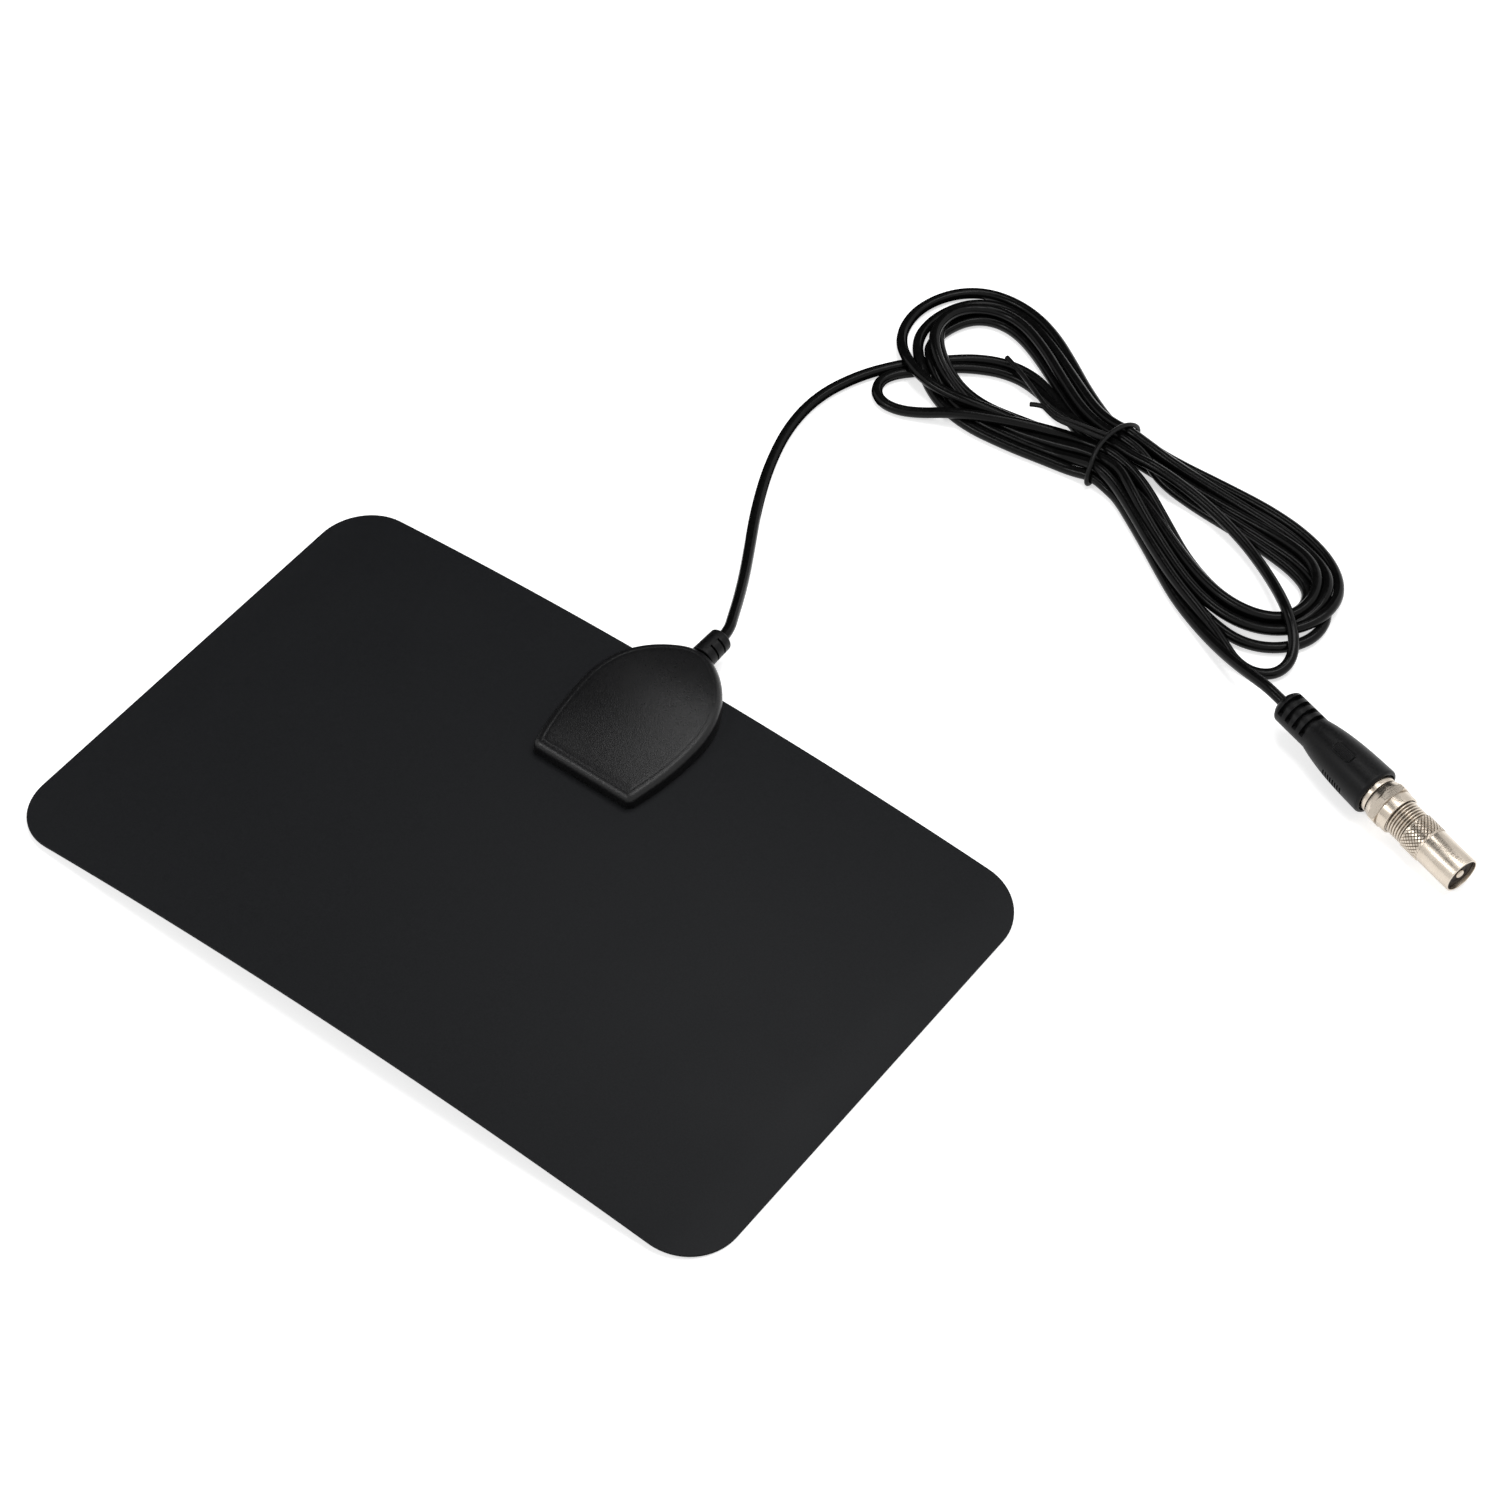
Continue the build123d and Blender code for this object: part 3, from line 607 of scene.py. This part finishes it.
left_outer = [
    (-10.9, 8.9), (-21, 14.1), (-33.7, 21.8), (-44.3, 27.4), (-54.8, 28.4), (-63.4, 23.8), (-68, 13.2),
    (-66.6, 1.7), (-59.6, -6.8), (-49.6, -12.8), (-38, -15.8), (-23.4, -13), (-10.5, -9.8),
]
under_right = [
    (14, -6.2, 1.6), (23, -13.2, 1.5), (33.3, -21.4, 1.5), (43.6, -27.8, 1.5), (52.2, -31.2, 1.5),
    (59.4, -31.4, 1.5), (66, -29.2, 1.5), (71.6, -24.8, 1.5), (74.4, -18.6, 1.5), (73.8, -11.8, 1.5),
    (70, -6, 1.5), (64.4, -2.2, 1.5), (56.8, 0.4, 1.5), (47.8, 1.4, 1.5), (36.1, 1.9, 1.5),
    (23.4, 2.7, 1.6), (14, 3, 2),
]
over_right = [
    (15.8, -12.8, 5.4), (26.9, -19.8, 5.8), (38.2, -26.4, 5.6), (48, -31.2, 4.6), (56.6, -34.8, 3.4),
    (62.8, -37.2, 3), (69.2, -37.6, 3), (74, -34, 3.2), (74.8, -28.2, 4.2), (71.8, -23, 5.6),
    (67, -19.2, 6.8), (60.6, -13.6, 7), (51.9, -7.6, 7), (42.4, -2.9, 6.8), (31.9, -0.1, 6.6),
    (20.8, 1.2, 6.4), (12, 1.6, 6),
]
stray_left = [
    (-19.4, 3.6, 3), (-26.9, 7.4, 2), (-33.7, 8.6, 1.5), (-40.2, 7.4, 1.5), (-46, 4.4, 1.5),
    (-51, 0.6, 1.5), (-55.2, -3, 1.5), (-59, -6.4, 1.5), (-62.4, -10, 1.5), (-64, -14.8, 1.5),
    (-62.4, -19.4, 1.5), (-58.2, -21.8, 1.6), (-53, -21, 2.4), (-47.6, -18, 4.4), (-41.4, -14.2, 6),
    (-32.9, -10.4, 6.6), (-21.7, -6.4, 6.6), (-12, -2.8, 6),
]
over_left = [
    (-10.9, 11.1, 3), (-20, 15.7, 3), (-28.5, 21, 3), (-37, 26.2, 3), (-45.4, 29.6, 3), (-54, 30.2, 3),
    (-61.4, 28.2, 3), (-66.8, 23.8, 3), (-70.4, 17.4, 3), (-71.8, 10.2, 3), (-70.4, 3, 3.4),
    (-66.2, -3.2, 5), (-59.8, -7.8, 6.5), (-52.6, -10, 7), (-45.7, -10.4, 7), (-37, -9.3, 7),
    (-28.4, -7, 7), (-18, -4.4, 6.6),
]
lead_in = [
    (-58.9, -2.4, 1.5), (-53.9, 2.5, 1.5), (-48.5, 7, 1.5), (-42.5, 10.2, 1.5), (-35.9, 11.4, 1.5),
    (-29.2, 10.4, 1.5), (-21.6, 7, 1.5), (-13.6, 3.2, 1.8), (-6, 1, low_row), (0, 0, low_row),
    (6, -1.6, low_row),
]
tail_route = [
    (9.3, -10.2, 2.2), (16.4, -14.4, 1.6), (24.9, -19.4, 1.5), (33, -24.2, 1.5), (40.5, -28.5, 1.5),
    (50, -33.4, 1.9), (58, -36.9, 3.4), (66, -40.1, 5.6), (72.5, -42.3, 7.6),
]


# One end of a turn, between the smallest and the largest loop of its side
def turn(inner, outer, first, last, height):
    points = []
    for i, (a, b) in enumerate(zip(inner, outer)):
        share = first + (last - first) * i / (len(inner) - 1)
        points.append((a[0] + (b[0] - a[0]) * share, a[1] + (b[1] - a[1]) * share, height))
    return points


# Each strand through the waist, by its place across it, its row and its way, and the end it leads to
hank = lead_in + under_right
for across, row, way, end in (
    (3, low_row, -1, turn(left_inner, left_outer, 0.0, 0.75, 3.0)),
    (-7.5, high_row, 1, over_right),
    (1.5, high_row, -1, stray_left),
    (-1.5, high_row, 1, turn(right_inner, right_outer, 0.0, 0.0, 4.2)),
    (4.5, high_row, -1, turn(left_inner, left_outer, 0.25, 0.5, 4.4)),
    (-4.5, high_row, 1, turn(right_inner, right_outer, 0.93, 1.0, 3.0)),
    (9, low_row, -1, over_left),
    (-6, low_row, 1, turn(right_inner, right_outer, 0.36, 0.33, 3.6)),
    (6, low_row, -1, turn(left_inner, left_outer, 0.5, 0.25, 3.0)),
    (-3, low_row, 1, turn(right_inner, right_outer, 0.66, 0.66, 2.6)),
    (7.5, high_row, -1, turn(left_inner, left_outer, 0.75, 1.0, 4.6)),
    (-9, low_row, 1, tail_route),
):
    hank += [(along * way, across, row) for along in (-waist_reach, 0, waist_reach)] + end


# The turns settle on each other: parts of the line nearer than about a diameter push apart,
# all sink to the table, and what the tie, the housing and the plug hold stays in place
def settled(route, held):
    rounds = 200
    rest_height = 1.5
    gap = 3.0
    search = gap + 3
    neighbours = 10
    push_share = 0.3
    weight = 0.03
    move_share = 1.5
    straighten = (0.018, 0.018, 0.06)
    return_share = 0.04
    home = np.array(route, float)
    now = home.copy()
    rows = []
    for i in range(1, len(home) - 1):
        for t in (0.17, 0.5, 0.83):
            row = np.zeros(len(home))
            row[i - 1:i + 2] = (1 - t) ** 2 / 2, 0.5 + t - t * t, t * t / 2
            rows.append(row)
    weights = np.array(rows)
    share = np.maximum(weights.sum(axis=0), 1e-6)
    order = np.arange(len(weights))
    for step in range(rounds):
        line = weights @ now
        if step % 10 == 0:
            span = np.linalg.norm(line[:, None] - line[None], axis=2)
            one, two = np.nonzero((span < search) & (order[None] - order[:, None] > neighbours))
        apart = line[one] - line[two]
        distance = np.linalg.norm(apart, axis=1)
        overlap = np.clip(gap - distance, 0, None) / np.maximum(distance, 0.05)
        force = apart * (overlap * push_share)[:, None]
        push = np.zeros_like(line)
        np.add.at(push, one, force)
        np.add.at(push, two, -force)
        push[:, 2] -= weight
        bend = np.zeros_like(now)
        bend[1:-1] = (now[:-2] + now[2:]) / 2 - now[1:-1]
        now += (weights.T @ push) / share[:, None] * move_share + bend * straighten
        now[:, :2] += return_share * (home[:, :2] - now[:, :2])
        now[:, 2] = np.maximum(now[:, 2], rest_height)
        now[held] = home[held]
    return now


# A round wire with the points of its routes as control points, each route open or closed
def wire(name, routes, radius, finish, replaced):
    curve = bpy.data.curves.new(name, "CURVE")
    curve.dimensions = "3D"
    for points, closed in routes:
        spline = curve.splines.new("NURBS")
        spline.points.add(len(points) - 1)
        for point, place in zip(spline.points, points):
            point.co = (*(np.array(place) / 1000), 1.0)
        spline.order_u = 3
        spline.use_endpoint_u = not closed
        spline.use_cyclic_u = closed
        spline.resolution_u = 6
    curve.bevel_depth = radius / 1000
    curve.bevel_resolution = 4
    curve.use_fill_caps = True
    curve.materials.append(finish)
    made = bpy.data.objects.new(name, curve)
    scene.collection.objects.link(made)
    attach(made, "antenna")
    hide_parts(*replaced)
    return made


# The last four points lie on the plug's axis. The tie holds the strands at its own place, the housing
# the lead, and the plug the end of the tail.
on_plug_axis = (-5.5, 0, cable_in_boot / 2, cable_in_boot)
held_by_plug = 8
route = lead_route + [tuple(hank_place @ Vector(p)) for p in hank]
route += [tuple(plug_rear + plug_axis * s) for s in on_plug_axis]
held = np.zeros(len(route), bool)
held[:len(lead_route) - 1] = True
held[len(lead_route):-len(on_plug_axis)] = [along == 0 for along, across, height in hank]
held[-held_by_plug:] = True
cable = wire(
    "cable", [(settled(route, held), False)], cable_radius, jacket,
    ["cable_lead", "cable_hank", "cable_tail", "cable_plug_end"],
)

# Twist tie: a steel wire in a thin black polyethylene coat, bent once round the waist of the hank.
# One end lies across the left strands and the other is cut short beside it.
tie_radius = 0.65
tie_ring = [
    (0, -10.2, 0.7), (0, -4, 0.7), (0, 4, 0.7), (0, 10.2, 0.7), (0, 11.4, 1.8), (-0.1, 11.2, 3.8),
    (-0.5, 9.7, 5.8), (-1.3, 7.2, 7.3), (-2.1, 4, 7.9), (-2.4, 0, 8.1), (-2.1, -4, 7.9), (-1.3, -7.2, 7.4),
    (-0.5, -9.7, 5.9), (-0.1, -11.2, 3.8), (0, -11.4, 1.8),
]
long_end = [
    (-2.4, 0.6, 8.1), (-10.4, -1.3, 8.6), (-15.3, -2.3, 8.5), (-20.2, -1.2, 8.0), (-24.5, 1.3, 7.2),
    (-30.5, 4.7, 6.2), (-35.1, 7.2, 5.4), (-40.8, 9.6, 4.7),
]
short_end = [
    (-2.4, -1.0, 8.1), (-10.4, -2.6, 8.6), (-15.3, -3.4, 8.6), (-19.2, -2.2, 8.3), (-21.8, -1.0, 7.9),
    (-24.8, -2.2, 7.2),
]

# Extruded polyethylene: a soft black, a little duller than the cable's jacket
tie_coat = plastic(
    "extruded_polyethylene", "#0b0b0b", "#121212",
    grain=0.8, depth=0.01, gloss=0.3, matte=0.42, specular=0.15,
)
tie_routes = [
    ([hank_place @ Vector(p) for p in points], closed)
    for points, closed in ((tie_ring, True), (long_end, False), (short_end, False))
]
tie = wire("wire_tie", tie_routes, tie_radius, tie_coat, ["twist_tie"])

# Plug boot: soft black PVC, moulded over the cable and the connector's stem. Slots with webs at the
# sides let its tail bend, notches and raised pads give the fingers hold, and the front lip is round.
boot_length = 33.0
boot_end = 1.2
boot_end_radius = 2.9
rib_radius = 4.35
ribs_length = 11.4
boot_grooves = (2.7, 5.2, 7.7, 10.2)
boot_groove_width = 1.3
boot_groove_radius = 2.9
boot_web = 4.2
lip_start = 32.0
lip_radius = 6.5
lip_recess = 5.6
flare_lengths = (ribs_length, 15.6, 21.5, lip_start)
flare_radii = (rib_radius, 5.25, 6.0, lip_radius)
flare_curve = np.polyfit(flare_lengths, flare_radii, len(flare_lengths) - 1)
flare_steps = np.linspace(ribs_length + 1.0, lip_start - 0.6, 20)
stem_radius = 4.0
stem_fit = 0.02
ring_seat = 32.2
notches = [20.6 + 0.9 * i for i in range(8)]
notch_width = 0.45
notch_depth = 0.45
notch_span = 3.6
pad_place = 22.0
pad_length = 6.4
pad_width = 3.3
pad_corner = 1.2
pad_height = 0.18
pad_block = 0.6
pad_border = 0.25
dot_pitch = 0.4
dot_sink = 0.14
dot_height = 0.12
dot_columns = dot_pitch * np.arange(-3, 4)
dot_rows = dot_pitch * np.arange(-7, 8)
plug_across = Vector((-0.261178, -0.965291, 0))
plug_turn = Matrix((plug_across, plug_axis.cross(plug_across), plug_axis)).transposed().to_4x4()
plug_place = to_metres @ Matrix.Translation(plug_rear) @ plug_turn
boot_twist = math.radians(15)
boot_place = plug_place @ Matrix.Rotation(boot_twist, 4, "Z")


def joined(bm, other):
    carrier = bpy.data.meshes.new("carrier")
    other.to_mesh(carrier)
    other.free()
    bm.from_mesh(carrier)
    bpy.data.meshes.remove(carrier)


def boot_radius(length):
    return float(np.polyval(flare_curve, length))


rib_rows = slot_edges(boot_grooves, boot_groove_width)
flare_rows = sorted(set(flare_steps) | set(slot_edges(notches, notch_width)))
bm = turned([
    (cable_radius + cable_fit, 0, 0), (boot_end_radius, 0, 0.5), (rib_radius, boot_end, 0.5),
    *[(rib_radius, s, 0) for s in rib_rows], (rib_radius, ribs_length, 0),
    *[(boot_radius(s), s, 0) for s in flare_rows],
    (lip_radius, lip_start, 0), (lip_radius, boot_length, 0.7), (lip_recess, boot_length, 0),
    (lip_recess, ring_seat, 0), (stem_radius + stem_fit, ring_seat, 0),
    (stem_radius + stem_fit, cable_in_boot, 0), (cable_radius + cable_fit, cable_in_boot, 0),
], steps=120)
sunk(
    bm, boot_grooves, boot_groove_width, lambda middle: abs(middle.y) > boot_web / 2,
    lambda radius: boot_groove_radius,
)
sunk(
    bm, notches, notch_width, lambda middle: abs(middle.y) < notch_span / 2,
    lambda radius: radius - notch_depth,
)

# The two pads: a plate with a border and a sunk field of dots, wrapped on the flare
for side in (-1, 1):
    pad = rounded_plate(pad_width, pad_length, pad_corner, segments=6)
    sliced(pad, x_axis, dot_columns)
    sliced(pad, y_axis, dot_rows)
    bmesh.ops.inset_region(
        pad, faces=pad.faces[:], thickness=pad_border, use_boundary=True, use_even_offset=True
    )
    thickened(pad, pad_block)
    rim = {v for e in pad.edges if e.calc_face_angle() > right_angle_test for v in e.verts}
    field = [f for f in pad.faces if f.normal.z > upward_test and not rim.intersection(f.verts)]
    for v in {v for f in field for v in f.verts}:
        v.co.z -= dot_sink
    bmesh.ops.poke(pad, faces=field, offset=dot_height, center_mode="MEAN")
    for v in pad.verts:
        radius = boot_radius(pad_place + v.co.y) + pad_height + v.co.z - pad_block
        v.co = (v.co.x, side * math.sqrt(radius ** 2 - v.co.x ** 2), pad_place + v.co.y)
    joined(bm, pad)
boot = finished("boot", bm, boot_place, soft_pvc, "antenna", ["plug_boot"], crease=35)

# Connector: a nickel-plated brass body crimped on the cable inside the boot. Only its ring shows,
# and the nut turns on the neck in front of it.
stem_bore = 2.2
ring_radius = 5.05
ring_end = 34.3
neck_radius = 3.6
neck_end = 35.7
flange_radius = 4.3
flange_end = 36.7

# Nickel-plated brass: a warm silver, with fine lathe lines round the axis that draw the highlights out,
# faint clouds from plating and handling, and painted shade, a dark brown in the creases of thread and
# knurl. The lathe lines are drawn at 0.15 mm, coarser than real ones, so that they show.
lathe_line = 0.15
lathe_stretch = (0.04, 0.04, 1)
lathe_depth = 0.002
plating_cloud = 4.0
painted_shade_reach = 0.6
nickel, tree, place, shader = new_finish("nickel_plated_brass")
along_plug = {"Vector": place, "Location": plug_rear / 1000, "Rotation": plug_turn.to_euler()}
on_axis = add(tree, "ShaderNodeMapping", {"vector_type": "TEXTURE"}, along_plug).outputs[0]
squeezed = add(tree, "ShaderNodeMapping", {}, {"Vector": on_axis, "Scale": lathe_stretch}).outputs[0]
lines = {"Vector": squeezed, "Scale": 1000 / lathe_line, "Detail": 2.0}
lathe = add(tree, "ShaderNodeTexNoise", {}, lines).outputs[0]
clouds = {"Vector": place, "Scale": 1000 / plating_cloud, "Detail": 3.0}
cloud = add(tree, "ShaderNodeTexNoise", {}, clouds).outputs[0]
tones = {"Factor": cloud, "A": linear("#b9ad9e"), "B": linear("#d3c9bc")}
plate = add(tree, "ShaderNodeMix", {"data_type": "RGBA"}, tones).outputs["Result"]
# Painted shade: the colour turns to a dark brown where ambient occlusion finds the surface closed in, as in
# thread and knurl
reach = {"Distance": painted_shade_reach / 1000}
openness = add(tree, "ShaderNodeAmbientOcclusion", {"samples": 8}, reach).outputs["AO"]
shade_depths = {"Value": openness, "From Min": 0.2, "From Max": 0.75}
unshaded_share = add(tree, "ShaderNodeMapRange", {}, shade_depths).outputs[0]
tones = {"Factor": unshaded_share, "A": linear("#3a3028"), "B": plate}
colour = add(tree, "ShaderNodeMix", {"data_type": "RGBA"}, tones).outputs["Result"]
sum_of = {0: cloud, 1: 0.5, 2: lathe}
both = add(tree, "ShaderNodeMath", {"operation": "MULTIPLY_ADD"}, sum_of).outputs[0]
wear = {"Value": both, "From Min": 0.5, "From Max": 1.0, "To Min": 0.22, "To Max": 0.34}
rough = add(tree, "ShaderNodeMapRange", {}, wear).outputs[0]
relief = {"Height": lathe, "Strength": 1.0, "Distance": lathe_depth / 1000}
normal = add(tree, "ShaderNodeBump", {}, relief).outputs[0]
tree.links.new(colour, shader.inputs["Base Color"])
tree.links.new(rough, shader.inputs["Roughness"])
tree.links.new(normal, shader.inputs["Normal"])
shader.inputs["Metallic"].default_value = 1.0

bm = turned([
    (stem_bore, cable_in_boot, 0), (stem_radius, cable_in_boot, 0), (stem_radius, ring_seat, 0),
    (ring_radius, ring_seat, 0), (ring_radius, ring_end, 0.2), (neck_radius, ring_end, 0),
    (neck_radius, neck_end, 0), (flange_radius, neck_end, 0.1), (flange_radius, flange_end, 0.15),
    (stem_bore, flange_end, 0.1),
])
connector = finished("connector", bm, plug_place, nickel, "antenna", ["connector_body"])

# Inside the plug: two insulators turned from polyethylene, pressed into the connector and the adapter,
# and the cable's copper core, which runs through the first of them.
# Turned polyethylene is a dull dark brown, and drawn copper a bright reddish metal.
polyethylene = plastic(
    "turned_polyethylene", "#1c130d", "#271c14",
    grain=0.6, depth=0.01, gloss=0.45, matte=0.6, specular=0.12,
)
copper = tarnished("drawn_copper", "#b8724c", "#d59a74", cloud=0.5)
dressed(polyethylene, "connector_insulator", "adapter_rear_insulator")
dressed(copper, "cable_core")

# Coupling nut: turned from brass bar with a coned rear and a round collar, milled to six flats and
# nickel-plated. It swivels on the connector's neck and screws onto the adapter.
nut_start = 34.5
nut_wall_end = 35.5
cone_end = 36.3
hex_end = 38.5
nut_end = 41.4
nut_bore = 3.68
nut_thread_bore = 4.8
cone_start_radius = 5.1
cone_end_radius = 5.65
corner_radius = 6.25
corner_start = cone_end + 0.6
front_chamfer = 0.3
across_flats = 11.0
collar_radius = 5.35
collar_start = hex_end - 0.2
bm = turned([
    (nut_bore, nut_start, 0), (cone_start_radius, nut_start, 0.2), (cone_end_radius, cone_end, 0),
    (corner_radius, corner_start, 0), (corner_radius, hex_end - front_chamfer, 0),
    (corner_radius - front_chamfer, hex_end, 0), (nut_thread_bore, hex_end, 0),
    (nut_thread_bore, nut_wall_end, 0), (nut_bore, nut_wall_end, 0),
], steps=144)
for i in range(6):
    angle = math.pi / 6 + i * math.pi / 3
    outward = Vector((math.cos(angle), math.sin(angle), 0))
    milled = bmesh.ops.bisect_plane(
        bm, geom=whole(bm), dist=1e-5, plane_co=outward * across_flats / 2, plane_no=outward,
        clear_outer=True,
    )
    bmesh.ops.contextual_create(bm, geom=only(milled["geom_cut"], bmesh.types.BMEdge))
joined(bm, turned([
    (nut_thread_bore, collar_start, 0), (collar_radius, collar_start, 0), (collar_radius, nut_end, 0.25),
    (nut_thread_bore, nut_end, 0.1),
]))
nut = finished("swivel_nut", bm, plug_place, nickel, "nut", ["coupling_nut"], crease=18)

# Adapter: turned brass, nickel-plated, with a fine screw thread, a diamond-knurled grip and a smooth
# push-in sleeve. It screws into the nut and slides into the television's socket.
adapter_start = 36.85
thread_end = 46.4
knurl_end = 52.0
plug_length = 62.7
adapter_bore = 3.6
thread_core = 4.25
thread_runout = 0.3
grip_core = 4.5
sleeve_radius = 4.75
sleeve_bore = 4.3
web_bore = 2.0
web_start = 44.5
web_end = 46.5
bm = turned([
    (adapter_bore, adapter_start, 0), (thread_core, adapter_start, 0.2),
    (thread_core, thread_end - thread_runout, 0), (grip_core, thread_end, 0), (grip_core, knurl_end, 0),
    (sleeve_radius, knurl_end, 0.1), (sleeve_radius, plug_length, 0.2), (sleeve_bore, plug_length, 0.12),
    (sleeve_bore, web_end, 0), (web_bore, web_end, 0), (web_bore, web_start, 0),
    (adapter_bore, web_start, 0),
])

# The thread: one ridge spun into a screw, with its two ends cut square
thread_pitch = 0.79375
thread_radius = 4.75
thread_root = 4.3
thread_end_gap = 0.15
turn_steps = 60
turns = int((thread_end - adapter_start) / thread_pitch) + 2
ridge = (
    (thread_root, 0.0), (thread_root + 0.04, 0.06), (thread_radius - 0.14, 0.2),
    (thread_radius - 0.03, 0.3), (thread_radius, 0.4), (thread_radius - 0.03, 0.5),
    (thread_radius - 0.14, 0.6), (thread_root + 0.04, 0.74), (thread_root, thread_pitch),
)
thread = bmesh.new()
chain(thread, [(radius, adapter_start - thread_pitch + length) for radius, length in ridge])
bmesh.ops.spin(
    thread, geom=whole(thread), cent=(0, 0, 0), axis=(0, 0, 1), dvec=(0, 0, thread_pitch / turn_steps),
    angle=math.tau * turns, steps=turn_steps * turns,
)
bmesh.ops.remove_doubles(thread, verts=thread.verts, dist=0.004)
for place, inner in ((adapter_start + thread_end_gap, True), (thread_end - thread_end_gap, False)):
    cut = bmesh.ops.bisect_plane(
        thread, geom=whole(thread), dist=1e-5, plane_co=(0, 0, place), plane_no=(0, 0, 1),
        clear_inner=inner, clear_outer=not inner,
    )
    bmesh.ops.contextual_create(thread, geom=only(cut["geom_cut"], bmesh.types.BMEdge))
joined(bm, thread)

# The knurl: a spun sleeve of squares turned into diamonds, each raised to a flat top
knurl_radius = 4.95
knurl_root = 4.75
knurl_rows = 5
knurl_columns = 28
knurl_flank = 0.17
knurl_pitch = (knurl_end - thread_end) / knurl_rows
knurl = bmesh.new()
chain(knurl, [(knurl_root, thread_end + knurl_pitch * i) for i in range(knurl_rows + 1)])
bmesh.ops.spin(
    knurl, geom=whole(knurl), cent=(0, 0, 0), axis=(0, 0, 1), angle=math.tau, steps=knurl_columns,
    use_merge=True,
)
squares = [e for e in knurl.edges if not e.is_boundary]
bmesh.ops.poke(knurl, faces=knurl.faces[:], center_mode="MEAN")
bmesh.ops.dissolve_edges(knurl, edges=squares, use_verts=False)
for v in knurl.verts:
    v.co.xy = v.co.xy.normalized() * knurl_root
diamonds = [f for f in knurl.faces if len(f.verts) == 4]
bmesh.ops.inset_individual(knurl, faces=diamonds, thickness=knurl_flank)
for v in {v for f in diamonds for v in f.verts}:
    v.co.xy = v.co.xy.normalized() * knurl_radius
for place in (thread_end, knurl_end):
    rim = [e for e in knurl.edges if e.is_boundary and abs(e.verts[0].co.z - place) < level_test]
    bmesh.ops.contextual_create(knurl, geom=rim)
joined(bm, knurl)
adapter = finished(
    "push_in_adapter", bm, plug_place, nickel, "adapter", ["adapter_body"], crease=22
)

# Front insulator and centre pin: a turned polyethylene disc pressed into the sleeve with its face set
# back from the mouth, and a nickel-plated pin with a round nose held in it.
pin_radius = 1.2
pin_start = 38.5
pin_end = 62.4
pin_socket = 0.55
pin_socket_end = 45.5
disc_fit = 0.02
disc_end = 61.7
crest_radius = 2.6
crest_end = 61.8
hub_radius = 2.3
hub_end = 61.6
bm = turned([
    (pin_radius + disc_fit, web_end, 0), (sleeve_bore - disc_fit, web_end, 0),
    (sleeve_bore - disc_fit, disc_end, 0.15), (crest_radius, crest_end, 0.1), (hub_radius, hub_end, 0.1),
    (pin_radius + disc_fit, hub_end, 0),
])
front_insulator = finished(
    "front_insulator", bm, plug_place, polyethylene, "adapter", ["adapter_front_insulator"]
)
bm = turned([
    (pin_socket, pin_start, 0), (pin_radius, pin_start, 0.1), (pin_radius, pin_end, 0.55),
    (0.0, pin_end, 0), (0.0, pin_socket_end, 0), (pin_socket, pin_socket_end, 0),
], steps=48)
pin = finished("centre_pin", bm, plug_place, nickel, "adapter", ["adapter_pin"])
